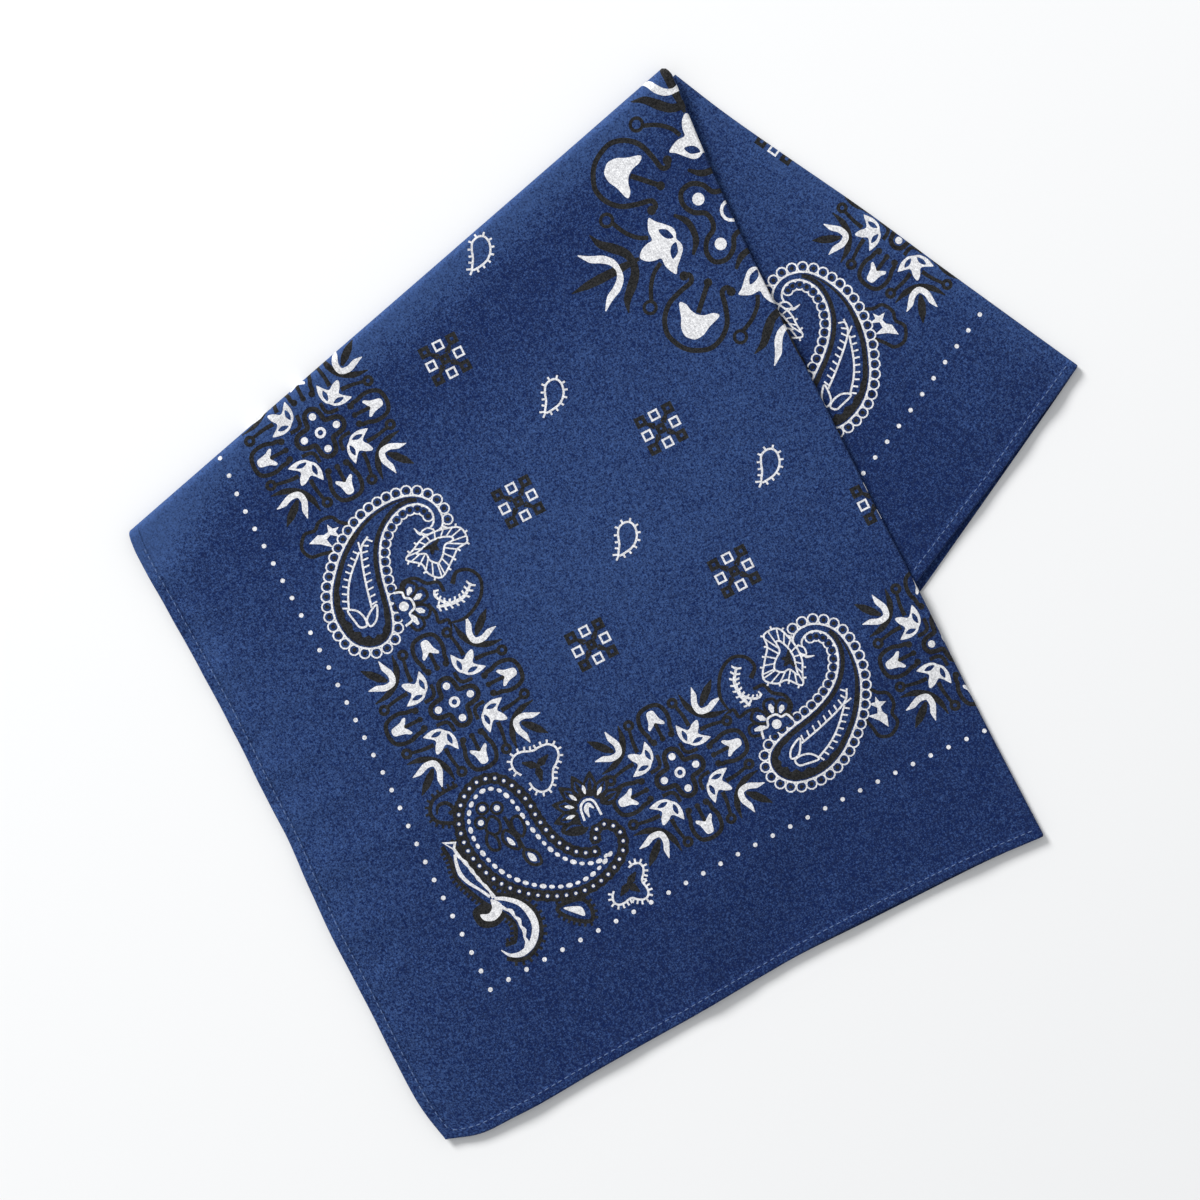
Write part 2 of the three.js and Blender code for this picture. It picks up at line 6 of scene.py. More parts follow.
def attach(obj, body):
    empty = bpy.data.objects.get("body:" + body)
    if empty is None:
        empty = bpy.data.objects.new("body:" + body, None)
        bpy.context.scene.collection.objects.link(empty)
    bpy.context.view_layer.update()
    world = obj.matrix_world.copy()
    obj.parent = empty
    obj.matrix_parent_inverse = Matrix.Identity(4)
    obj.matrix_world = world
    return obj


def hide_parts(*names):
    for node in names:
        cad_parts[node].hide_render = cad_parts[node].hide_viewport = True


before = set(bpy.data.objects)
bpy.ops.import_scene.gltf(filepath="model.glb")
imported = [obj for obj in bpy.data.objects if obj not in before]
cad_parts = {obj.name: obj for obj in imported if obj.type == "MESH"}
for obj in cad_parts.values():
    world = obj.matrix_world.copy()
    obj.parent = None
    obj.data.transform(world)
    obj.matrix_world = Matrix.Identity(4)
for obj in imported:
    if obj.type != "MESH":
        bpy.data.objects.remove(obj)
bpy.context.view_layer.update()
print("frame loaded:", len(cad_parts), "nodes")

# All sizes are millimetres in the plan of the folded cloth: u runs along the front panel's lower hem and v
# along its left hem. inMetres moves the middle to the origin and turns points to metres.
middle = np.array([184.9, 171.9])
metre = 0.001

fold = {
    "wall": 1.1,  # one layer with its loft
    "gap": 0.3,  # between one layer and the next
    "pitch": 1.4,  # one layer and its gap
    "thick": 0.42,  # the front panel's and the flap's cloth itself, as a shell on the layer's form
    "hemRise": 0.6,
    "left": (-3.0, 280.0),
    "apex": (279.7, 349.6),
    "flapTip": (374.4, 163.3),
    "flapMeet": (274.2, 113.8),
    "hiddenCorner": (133.5, 38.0),
    "hiddenLeft": (10.5, 282.0),
    "rightRadius": 0.7,
    "rightTurn": (345.0, 0.8),  # a v, and the share of it past which the right fold swings round
    "stepDrape": 38.0,
    "topLift": (0.9, 9.0),  # height and width of the roll kept by the top-left fold
    "apexLift": (2.4, 42.0),  # cloth gathered where the folds meet
    "rightLift": (1.1, 26.0),
}

# How far each edge bows out from its straight line: place along it, distance out. rightFold has the fold's
# own u at each v, and innerPeek how far the second layer shows past the lower hem
edgeBows = {
    "lowerHem": [(0, 0.3), (14, 4.8), (29, 5.1), (43, 5.0), (72, 3.3), (96, 2.4), (110, 2.0), (124, 1.2),
                 (143, 0.1), (165, -0.9), (192, -1.2), (215, -1.1), (244, -0.5), (260, 0.6), (274, 1.7)],
    "leftHem": [(0, 0.6), (14, 3.4), (29, 4.3), (60, 4.1), (98, 4.2), (115, 3.4), (140, 2.0), (156, 2.2),
                (186, 1.8), (215, 2.2), (244, 3.1), (270, 3.8), (281, 2.6)],
    "rightFold": [(-2, 274.1), (49, 273.7), (107, 274.1), (153, 274.0), (230, 274.9), (277, 275.8),
                  (300, 277.0), (320, 278.3), (343, 280.2), (350, 279.7)],
    "flapHem": [(0, 0), (28, 0.1), (56, 0.6), (84, 0.1), (112, -0.4), (125, -1.2)],
    "crease": [(0, 0), (30, -1.0), (60, -0.6), (100, 0.3), (140, 0), (209, 0)],
    "innerPeek": [(0, -0.8), (130, -0.5), (165, 0.3), (205, 1.0), (250, 0.4), (274, -0.4)],
}

# Puckers drawn in by the hem stitching: place along the hem, height, half width, reach into the cloth
puckers = {
    "leftHem": [(22, 0.5, 7, 20), (47, 0.7, 6, 26), (70, 0.6, 5, 22), (92, 0.9, 7, 38), (121, 1.3, 8, 52),
                (146, 0.9, 6, 34), (166, 1.0, 6, 30), (189, 0.7, 7, 26), (213, 0.9, 6, 24), (238, 0.8, 6, 22),
                (258, 0.6, 5, 18)],
    "lowerHem": [(34, 0.5, 10, 18), (78, 0.4, 12, 14), (131, 0.5, 11, 20), (187, 0.4, 13, 16),
                 (243, 0.5, 10, 18)],
    "flapHem": [(18, 0.4, 7, 16), (43, 0.5, 8, 22), (71, 0.4, 8, 18)],
}

# Broad swells: centre u and v, half length, half width, turn in degrees, height
swells = {
    "front": [(150, 205, 95, 55, 14, 1.3), (205, 95, 80, 45, -60, 0.6), (62, 120, 48, 22, 8, 0.7),
              (100, 60, 60, 30, 30, 0.5)],
    "flap": [(325, 215, 60, 16, -63, 0.7), (342, 168, 26, 14, 20, 0.5)],
}


def bump(distance, half):
    return np.exp(-((distance / half) ** 2))


def smoothstep(x, low, high):
    share = np.clip((x - low) / (high - low), 0, 1)
    return share * share * (3 - 2 * share)


def bow(name, place):
    # a cubic between each two rows of the table, with slopes from the rows on either side
    at, out = np.array(edgeBows[name], float).T
    rows = np.arange(len(at))
    before, after = np.maximum(rows - 1, 0), np.minimum(rows + 1, len(at) - 1)
    slope = (out[after] - out[before]) / (at[after] - at[before])
    place = np.clip(place, at[0], at[-1])
    i = np.clip(np.searchsorted(at, place), 1, len(at) - 1)
    step = at[i] - at[i - 1]
    t = (place - at[i - 1]) / step
    start = out[i - 1] * (1 + 2 * t) * (1 - t) ** 2 + slope[i - 1] * step * t * (1 - t) ** 2
    return start + out[i] * (3 - 2 * t) * t**2 - slope[i] * step * (1 - t) * t**2


def puckerHeight(name, along, inward):
    # each pucker is a soft ridge across the hem that dies away into the cloth
    at, rise, half, reach = (np.array(column, float)[:, None] for column in zip(*puckers[name]))
    return (rise * bump(along - at, half) * bump(np.maximum(inward, 0), reach)).sum(0)


def hills(rows, u, v):
    # the sum of long soft hills, each turned by its own angle
    cu, cv, long, wide, turn, rise = (np.array(column, float)[:, None] for column in zip(*rows))
    turn = np.radians(turn)
    lengthwise = (u - cu) * np.cos(turn) + (v - cv) * np.sin(turn)
    across = (v - cv) * np.cos(turn) - (u - cu) * np.sin(turn)
    return (rise * bump(lengthwise, long) * bump(across, wide)).sum(0)


def unit(start, end):
    along = np.subtract(end, start)
    return along / np.linalg.norm(along)


def leftOf(start, end, u, v):
    # signed distance from the line through start and end, positive on its left
    along = unit(start, end)
    return along[0] * (v - start[1]) - along[1] * (u - start[0])


topAlong = unit(fold["left"], fold["apex"])
topOut = np.array([-topAlong[1], topAlong[0]])
creaseAlong = unit(fold["apex"], fold["flapTip"])
creaseOut = np.array([-creaseAlong[1], creaseAlong[0]])
apex = np.array(fold["apex"])
foldLength = np.linalg.norm(np.subtract(fold["apex"], fold["left"]))
outerRight = fold["rightRadius"] + fold["wall"] / 2
outerCrease = fold["pitch"] / 2 + fold["wall"] / 2


def layersBelow(u, v):
    # 1 over the two lower layers, falling to 0 as the cloth drapes off their hems
    pastLower = leftOf(fold["hiddenCorner"], fold["flapMeet"], u, v)
    pastLeft = -leftOf(fold["hiddenCorner"], fold["hiddenLeft"], u, v)
    return smoothstep(np.minimum(pastLower, pastLeft), -fold["stepDrape"], 0)


def ripple(u, v):
    # the slack of soft cotton: three slow waves that cross each other
    wave = np.sin(u / 17.0 + 1.3 * np.sin(v / 41.0)) * np.sin(v / 23.0 + 0.7)
    return 0.10 * wave + 0.07 * np.sin((u + 1.7 * v) / 14.0 + 2.0 * np.sin(u / 53.0))


def stitchPull(along, inward):
    # small gathers between the stitches, uneven in spacing, that end within a few millimetres
    phase = along / 2.9 + 1.6 * np.sin(along / 19.0) + 0.8 * np.sin(along / 7.3)
    strength = 0.55 + 0.45 * np.sin(along / 33.0 + 1.0)
    return 0.13 * strength * np.sin(phase) * bump(inward - 4.0, 5.0)


def frontUnder(u, v):
    # height of the front panel's underside: the stack below, the folds' lifts, the swells and the puckers
    fromTop = np.maximum(-leftOf(fold["left"], fold["apex"], u, v), 0)
    fromRight = np.maximum(bow("rightFold", v) - u, 0)
    fromApex = np.hypot(u - fold["apex"][0], v - fold["apex"][1])
    overFlap = smoothstep(v, 120, 270)
    stack = fold["pitch"] * (1 + 2 * layersBelow(u, v))
    (topHigh, topWide), (apexHigh, apexWide), (rightHigh, rightWide) = (
        fold["topLift"], fold["apexLift"], fold["rightLift"])
    lifts = (topHigh * bump(fromTop, topWide) + apexHigh * bump(fromApex, apexWide)
             + rightHigh * overFlap * bump(fromRight, rightWide))
    inland = 1 - bump(fromTop, 30)
    fromLeft, fromLower = u + bow("leftHem", v), v + bow("lowerHem", u)
    drawn = (puckerHeight("leftHem", v, fromLeft)
             + puckerHeight("lowerHem", u, fromLower) * (1 - bump(fromRight, 20)))
    return stack + lifts + hills(swells["front"], u, v) * inland + drawn


def flapUnder(u, v):
    # height of the flap's underside, flat where the front panel's fold rests on it
    clear = smoothstep(u - bow("rightFold", v), 3, 26)
    fromCrease = np.maximum(leftOf(fold["flapTip"], fold["apex"], u, v), 0)
    along = np.hypot(u - fold["flapTip"][0], v - fold["flapTip"][1])
    fromHem = np.abs(leftOf(fold["flapTip"], fold["flapMeet"], u, v))
    drawn = puckerHeight("flapHem", along, fromHem)
    return fold["pitch"] + (hills(swells["flap"], u, v) + drawn) * clear * (1 - bump(fromCrease, 9))


# Each layer of the folded square as a plan of the cloth: the cloth's own s and t, from the middle of the
# print, land at origin + s * across + t * up
tip = np.array(fold["flapTip"])
cornerAcross, cornerUp = np.array([-0.8914, -0.4532]), np.array([0.4532, -0.8914])
flapStart = {"s": 5.3, "t": 283.7}
layers = {
    "front": {"across": np.array([1.0, 0.0]), "up": np.array([0.0, 1.0]), "origin": np.array([275.9, 283.7])},
    "second": {"across": np.array([-1.0, 0.0]), "up": np.array([0.0, 1.0]),
               "origin": np.array([273.3, 283.7])},
    "flap": {"across": cornerAcross, "up": cornerUp,
             "origin": tip - flapStart["s"] * cornerAcross - flapStart["t"] * cornerUp},
    "bottom": {"across": -cornerAcross, "up": cornerUp,
               "origin": tip + flapStart["s"] * cornerAcross - flapStart["t"] * cornerUp},
}

hem = {
    "radius": 0.85,  # of the wrapped edge
    "flange": 4.0,  # how far the cloth goes back under
    "ledge": (4.25, 4.95),  # where the turned edge steps down to the panel
    "stitchAt": 4.0,
    "lengths": {"left": 282, "lower": 276, "flap": 123},
    "groove": (0.16, 0.45),  # depth and half width under the stitches
    "taper": 5.0,
    "lines": (4.95, 4.72, 4.48, 4.25, 4.0, 3.6, 2.4),  # distances in from the edge that the mesh follows
}

# spacing of each layer's inner mesh points
spacing = {"front": 3.0, "flap": 3.0, "second": 5.0, "bottom": 6.0}


def hemTop(inward, share):
    # the turned edge stands above the panel; a shallow groove runs under its stitches
    low, high = hem["ledge"]
    ledge = fold["hemRise"] * share * (1 - smoothstep(inward, low, high))
    deep, wide = hem["groove"]
    return ledge - deep * bump(inward - hem["stitchAt"], wide) * share


def rollOn(spot, facing, rolls):
    # each point goes round each roll in turn: out by radius * sin, down the way the surface faces by
    # radius * (1 - cos), and straight on past the roll's end
    for out, radius, angle, beyond in rolls:
        out3 = np.column_stack([np.broadcast_to(out, (len(spot), 2)), np.zeros(len(spot))])
        sine, cosine = np.sin(angle)[:, None], np.cos(angle)[:, None]
        spot = spot + out3 * radius[:, None] * sine - facing * radius[:, None] * (1 - cosine)
        facing, ahead = facing * cosine + out3 * sine, out3 * cosine - facing * sine
        spot = spot + ahead * beyond[:, None]
    return spot, facing


def rolled(base, mid, rolls, lift, depth):
    # the middle surface taken round the folds, then moved off along the way it faces by lift and the depth
    spot = np.column_stack([base, mid])
    facing = np.zeros_like(spot)
    facing[:, 2] = 1
    spot, facing = rollOn(spot, facing, rolls)
    return spot + facing * (lift - depth)[:, None]


def turnRound(distance, outerRadius):
    # how far round a roll a distance takes the cloth, and what is left over after half a turn
    angle = np.clip(distance / outerRadius, 0, np.pi)
    return angle, np.maximum(distance - np.pi * outerRadius, 0)


def rightFoldOut(v):
    # the way out across the right fold, which turns towards the top-left fold near the apex
    top, start = fold["rightTurn"]
    share = smoothstep(v / top, start, 1)[:, None]
    out = (1 - share) * np.array([1.0, 0.0]) + share * topAlong
    return out / np.linalg.norm(out, axis=1, keepdims=True)


def frontEdges(plan):
    # distances past the wrapped edges of the two hems, with the plan point brought back to where they start
    u, v = plan.T
    radiusLeft = np.maximum(hem["radius"] * smoothstep(v, 0, hem["taper"]), 0.12)
    radiusLower = np.maximum(hem["radius"] * smoothstep(u, 0, hem["taper"]), 0.12)
    pastLeft, pastLower = np.maximum(radiusLeft - u, 0), np.maximum(radiusLower - v, 0)
    u, v = u + pastLeft, v + pastLower
    bentU = u - bow("leftHem", v) * bump(u, 68)
    bentV = v - bow("lowerHem", u) * bump(v, 68)
    return bentU, bentV, u, v, (pastLeft, radiusLeft), (pastLower, radiusLower)


def frontSurface(plan, depth=0.0):
    # the front panel: flat plan bent to its bowed hems, lifted to its height, rolled at its two folds and
    # wrapped at its two hems; depth goes from the outer face into the cloth
    u, v, fromLeft, fromLower, (pastLeft, radiusLeft), (pastLower, radiusLower) = frontEdges(plan)
    beyondLine = leftOf(fold["left"], fold["apex"], u, v)
    near = np.column_stack([u, v]) - (beyondLine + 2 * fold["pitch"])[:, None] * topOut
    inset = frontUnder(*near.T) / 2 + fold["wall"] / 2
    pastTop = np.maximum(beyondLine + inset, 0)
    base = np.column_stack([u, v]) - pastTop[:, None] * topOut
    rightOut = rightFoldOut(base[:, 1])
    pastRight = np.maximum(base[:, 0] - bow("rightFold", base[:, 1]) + outerRight, 0) / rightOut[:, 0]
    base = base - pastRight[:, None] * rightOut
    under = frontUnder(*base.T)
    outerTop = under / 2 + fold["wall"] / 2
    topAngle, topBeyond = turnRound(pastTop, outerTop)
    rightAngle, rightBeyond = turnRound(pastRight, outerRight)
    hemShare = (np.clip(np.cos(topAngle), 0, 1) * np.clip(np.cos(rightAngle), 0, 1)) ** 2
    wrapShare = (fold["wall"] + fold["hemRise"] * hemShare) / (fold["wall"] + fold["hemRise"])
    wrapLeft, wrapLower = radiusLeft * wrapShare, radiusLower * wrapShare
    leftAngle, leftBeyond = turnRound(pastLeft, wrapLeft)
    lowerAngle, lowerBeyond = turnRound(pastLower, wrapLower)
    rolls = [
        (topOut, under / 2, topAngle, topBeyond),
        (rightOut, np.full(len(u), fold["rightRadius"]), rightAngle, rightBeyond),
    ]
    inward = np.minimum(fromLeft, fromLower)
    lift = fold["wall"] / 2 + hemTop(inward, hemShare)
    flat = np.cos(topAngle) * np.cos(rightAngle)
    fine = ripple(u, v) * smoothstep(inward, 5, 30) + stitchPull(v, fromLeft) + stitchPull(u + 90, fromLower)
    lift = lift + fine * np.clip(flat, 0, 1)
    # a wrapped edge turns about a line under the top face, so its radius is taken off and put back
    wraps = [
        (np.array([-1.0, 0.0]), wrapLeft, leftAngle, leftBeyond),
        (np.array([0.0, -1.0]), wrapLower, lowerAngle, lowerBeyond),
    ]
    mid = under + fold["wall"] / 2
    wrapHere = np.where(pastLeft > 0, wrapLeft, np.where(pastLower > 0, wrapLower, 9))
    depthHere = np.minimum(depth, 0.8 * wrapHere)
    return wrapped(base, mid, rolls, wraps, lift, depthHere)


def wrapped(base, mid, rolls, wraps, lift, depth):
    # the folds' rolls first, then the hems' wraps round an axis one radius below the outer face
    outer = rolled(base, mid, rolls, lift, np.zeros(len(base)))
    inner = rolled(base, mid, rolls, lift, np.ones(len(base)))
    spot, facing = rollOn(outer, outer - inner, wraps)
    return spot - facing * depth[:, None]


def flapSurface(plan, depth=0.0):
    # the flap: lifted to its height, rolled at its crease and wrapped at its hem
    away = plan - tip
    alongHem, pastHem = away @ cornerAcross, away @ cornerUp
    radiusHem = np.full(len(plan), hem["radius"])
    pastWrap = np.maximum(pastHem + radiusHem, 0)
    held = plan - pastWrap[:, None] * cornerUp
    fromHem = np.maximum(-(held - tip) @ cornerUp, 0)
    hemShift = (bow("flapHem", alongHem) - 0.0115 * alongHem) * bump(fromHem, 60)
    fromApex = (held - apex) @ creaseAlong
    creaseShift = bow("crease", fromApex) * bump(alongHem, 40)
    base = held + hemShift[:, None] * cornerUp + creaseShift[:, None] * creaseOut
    past = (base - apex) @ creaseOut - bow("crease", fromApex) + outerCrease
    past = np.maximum(past, 0)
    base = base - past[:, None] * creaseOut
    under = flapUnder(*base.T)
    angle, beyond = turnRound(past, under / 2 + fold["wall"] / 2)
    share = np.clip(np.cos(angle), 0, 1) ** 2
    wrapRadius = radiusHem * (fold["wall"] + fold["hemRise"] * share) / (fold["wall"] + fold["hemRise"])
    hemAngle, hemBeyond = turnRound(pastWrap, wrapRadius)
    fine = ripple(base[:, 0] + 40, base[:, 1]) * smoothstep(fromHem, 5, 30) + stitchPull(alongHem, fromHem)
    clear = smoothstep(base[:, 0] - bow("rightFold", base[:, 1]), 2, 14)
    lift = fold["wall"] / 2 + hemTop(fromHem, share) + fine * share * clear
    rolls = [(creaseOut, under / 2, angle, beyond)]
    wraps = [(cornerUp, wrapRadius, hemAngle, hemBeyond)]
    return wrapped(base, under + fold["wall"] / 2, rolls, wraps, lift, np.full(len(plan), depth))


def roundedEdge(inward, radius):
    # how far a rounded edge has drawn in from the face, at a distance in from the edge
    share = np.clip(1 - inward / radius, 0, 1)
    return radius * (1 - np.sqrt(np.clip(1 - share**2, 0, 1)))


def secondPlan(plan):
    u, v = plan.T
    bentU = u - (bow("leftHem", v) - 0.8) * bump(u, 68)
    bentV = v - (bow("lowerHem", u) + bow("innerPeek", u)) * bump(v, 68)
    return bentU, bentV


def secondSurface(plan, depth=0.0):
    # the second layer, printed side down: flat on the ground outside the lower layers' hems and draped up
    # over them; its upper face follows the front panel's underside
    u, v = secondPlan(plan)
    inward = np.minimum(plan[:, 0], plan[:, 1])
    below = 2 * fold["pitch"] * layersBelow(u, v)
    above = np.maximum(frontUnder(u, v) - fold["gap"], below + 0.9)
    draw = roundedEdge(inward, 0.5)
    z = above - draw if depth else below + draw
    return np.column_stack([u, v, z])


def bottomHems(plan):
    # distances in from the bottom layer's two hems
    fromLower = leftOf(fold["hiddenCorner"], fold["flapTip"], *plan.T)
    fromLeft = -leftOf(fold["hiddenCorner"], fold["hiddenLeft"], *plan.T)
    return fromLower, fromLeft


def bottomSurface(plan, depth=0.0):
    # the bottom layer, printed side down and flat on the ground, with rounded hems
    inward = np.minimum(*bottomHems(plan))
    draw = roundedEdge(inward, 0.5)
    z = fold["wall"] - draw if depth else draw
    return np.column_stack([plan, z])


print("surfaces ready")

# Inks of the print. A motif is a list of closed outlines in millimetres, each with its ink, painted in order.
ground, white, black = 0, 1, 2


def turned(shapes, degrees=0.0, scale=1.0, move=(0, 0), flip=False):
    # mirrored across, scaled, turned and moved
    angle = np.radians(degrees)
    matrix = scale * np.array([[np.cos(angle), -np.sin(angle)], [np.sin(angle), np.cos(angle)]])
    mirror = np.array([-1.0 if flip else 1.0, 1.0])
    return [(ink, (points * mirror) @ matrix.T + np.array(move)) for ink, points in shapes]


def fourWays(shapes):
    return [shape for quarter in range(4) for shape in turned(shapes, 90 * quarter)]


def bothSides(shapes):
    # a shape and its mirror image across the diagonal
    return shapes + [(ink, points[:, ::-1]) for ink, points in shapes]


def smoothLine(points, closed=False, each=4):
    # a cubic between each two points, with slopes from the points on either side
    points = np.array(points, float)
    if closed:
        framed = np.vstack([points[-1], points, points[:2]])
    else:
        framed = np.vstack([2 * points[0] - points[1], points, 2 * points[-1] - points[-2]])
    share = (np.arange(each) / each)[None, :, None]
    before, start, end, after = (framed[k : len(framed) - 3 + k, None] for k in range(4))
    line = start + 0.5 * (end - before) * share
    line = line + 0.5 * (2 * before - 5 * start + 4 * end - after) * share**2
    line = (line + 0.5 * (3 * start - before - 3 * end + after) * share**3).reshape(-1, 2)
    return line if closed else np.vstack([line, points[-1]])


def leftWay(ahead):
    return np.column_stack([-ahead[:, 1], ahead[:, 0]])


def sidesOf(line, half, closed=False):
    # the line moved to its left and to its right
    ahead = np.roll(line, -1, 0) - np.roll(line, 1, 0) if closed else np.gradient(line, axis=0)
    ahead = ahead / np.linalg.norm(ahead, axis=1, keepdims=True)
    left = leftWay(ahead) * np.reshape(half, (-1, 1))
    return line + left, line - left


def inkLine(ink, points, width, each=4):
    # a brush line whose width goes through the given values
    line = smoothLine(points, each=each)
    widths = np.atleast_1d(width)
    half = np.interp(np.linspace(0, 1, len(line)), np.linspace(0, 1, len(widths)), widths) / 2
    left, right = sidesOf(line, half)
    return [(ink, np.vstack([left, right[::-1]]))]


def inkLoop(ink, points, width, inside=ground, each=4):
    # a closed brush line round a filling
    line = smoothLine(points, True, each)
    outer, inner = sidesOf(line, width / 2, True)
    if np.ptp(outer[:, 0]) < np.ptp(inner[:, 0]):
        outer, inner = inner, outer
    return [(ink, outer), (inside, inner)]


def inkShape(ink, points, each=4):
    return [(ink, smoothLine(points, True, each))]


def inkDisc(ink, centre, radius, corners=14):
    angle = np.arange(corners) * 2 * np.pi / corners
    return [(ink, np.array(centre) + radius * np.column_stack([np.cos(angle), np.sin(angle)]))]


def inkRing(ink, centre, outer, inner, inside=ground):
    return inkDisc(ink, centre, outer) + inkDisc(inside, centre, inner)


def inkBox(ink, centre, half):
    return [(ink, np.array(centre) + half * np.array([(-1, -1), (1, -1), (1, 1), (-1, 1)]))]


def evenly(line, places):
    # points of a line, and the way it runs there, at even shares of its length
    steps = np.linalg.norm(np.diff(line, axis=0), axis=1)
    travelled = np.concatenate([[0], np.cumsum(steps)])
    at = np.array(places) * travelled[-1]
    spots = np.column_stack([np.interp(at, travelled, line[:, k]) for k in (0, 1)])
    ahead = np.gradient(line, axis=0)
    ahead = np.column_stack([np.interp(at, travelled, ahead[:, k]) for k in (0, 1)])
    return spots, ahead / np.linalg.norm(ahead, axis=1, keepdims=True)


def ticks(ink, line, count, length, width=0.7, start=0.04, end=0.96, lean=0.0):
    # short strokes that stand on the left of a line, or on its right for a length below 0
    foot, ahead = evenly(line, np.linspace(start, end, count))
    left = leftWay(ahead)
    top = foot + left * length + ahead * lean
    side = ahead * width / 2
    corners = np.stack([foot - side, foot + side, top + side, top - side], 1)
    return [(ink, four) for four in corners]


def scallops(line, count, radius, rim):
    # a row of rings on the left of a line that share their sides, each with a dark seed
    foot, ahead = evenly(line, (np.arange(count) + 0.5) / count)
    left = leftWay(ahead)
    centre = foot + left * radius * 0.9
    rings = [(white, radius + rim / 2), (ground, radius - rim / 2), (black, radius * 0.42)]
    return [shape for ink, size in rings for spot in centre for shape in inkDisc(ink, spot, size, 11)]


def fourLobed(lobes):
    # a quarter of a closed line, turned to all four
    turns = [np.array([(np.cos(a), -np.sin(a)), (np.sin(a), np.cos(a))]) for a in np.arange(4) * np.pi / 2]
    return np.vstack([np.array(lobes) @ turn.T for turn in turns])


def upright(half, centre):
    # a line through the given half, a point on the axis and the half's mirror image
    return half + [(0, centre)] + [(-x, y) for x, y in half[::-1]]


def rosette():
    # a ring in a four-lobed line, with a tulip in a horseshoe on each side and a lily, two ringed stems and
    # a crescent towards each corner
    quatrefoil = fourLobed([(3.9, 3.9), (3.4, 6.6), (2.5, 9.3), (0, 10.4), (-2.5, 9.3), (-3.4, 6.6)])
    half = [(3.4, 15.8), (4.8, 16.8), (5, 19), (6, 22), (5.8, 25.8), (4.1, 28.8)]
    side = inkLine(black, [(-x, y) for x, y in half] + [(0, 29.8)] + half[::-1], 1.8)
    side += inkDisc(black, (-4, 15.6), 1.4) + inkDisc(black, (4, 15.6), 1.4)
    side += inkLine(black, [(0, 15.4), (0, 18), (0, 23)], 1.6) + inkDisc(black, (0, 15.5), 1.2)
    tulip = [(1.5, 27.4), (2.1, 25), (2.6, 23.2), (3.6, 21.6), (3.2, 20.6), (1.4, 21.6)]
    side += inkShape(white, [(0, 28)] + upright(tulip, 22.6))
    side += inkDisc(white, (0, 7.2), 1.5)
    stem = inkLine(black, [(11.8, 15.2), (11.6, 19.5), (10.6, 24.8)], [1.9, 1.6, 1.4])
    stem += inkRing(black, (10, 26.6), 2.35, 0.85)
    corner = bothSides(stem)
    corner += inkLine(black, [(5.3, 10.8), (5.6, 7.2), (7.2, 5.6), (10.8, 5.3)], 1.6)
    corner += inkLine(black, [(13.9, 28.6), (14.8, 22.8), (17.6, 17.6), (22.8, 14.8), (28.6, 13.9)],
                      [0.5, 2.6, 2.2, 2.6, 0.5], 6)
    corner += inkLine(black, [(19.9, 20.2), (22.6, 22.8), (25.6, 25.4), (28.6, 28)], [1.2, 3.3, 3.1, 0.4])
    corner += inkLine(white, [(19.8, 28.8), (19.2, 25.4), (17.9, 22), (18.6, 18.6), (22, 17.9), (25.4, 19.2),
                              (28.8, 19.8)], [0.3, 2.3, 2.5, 2.5, 2.5, 2.3, 0.3], 6)
    petal = [(15.8, 15.8), (15.2, 16), (13.2, 15.3), (11.1, 13.9), (9.6, 14.8), (7.6, 17.4), (7, 17.4),
             (6.2, 13.8),
             (6.9, 10.4)]
    corner += inkShape(white, petal + [(8.6, 8.6)] + [(y, x) for x, y in petal[:0:-1]])
    return (inkLoop(black, quatrefoil, 2.0) + fourWays(corner + bothSides(
        inkShape(ground, [(8.5, 14.8), (7.5, 12.6), (8.3, 10.1), (9.5, 12.4)]))) + fourWays(side)
        + inkRing(white, (0, 0), 2.3, 1.15))


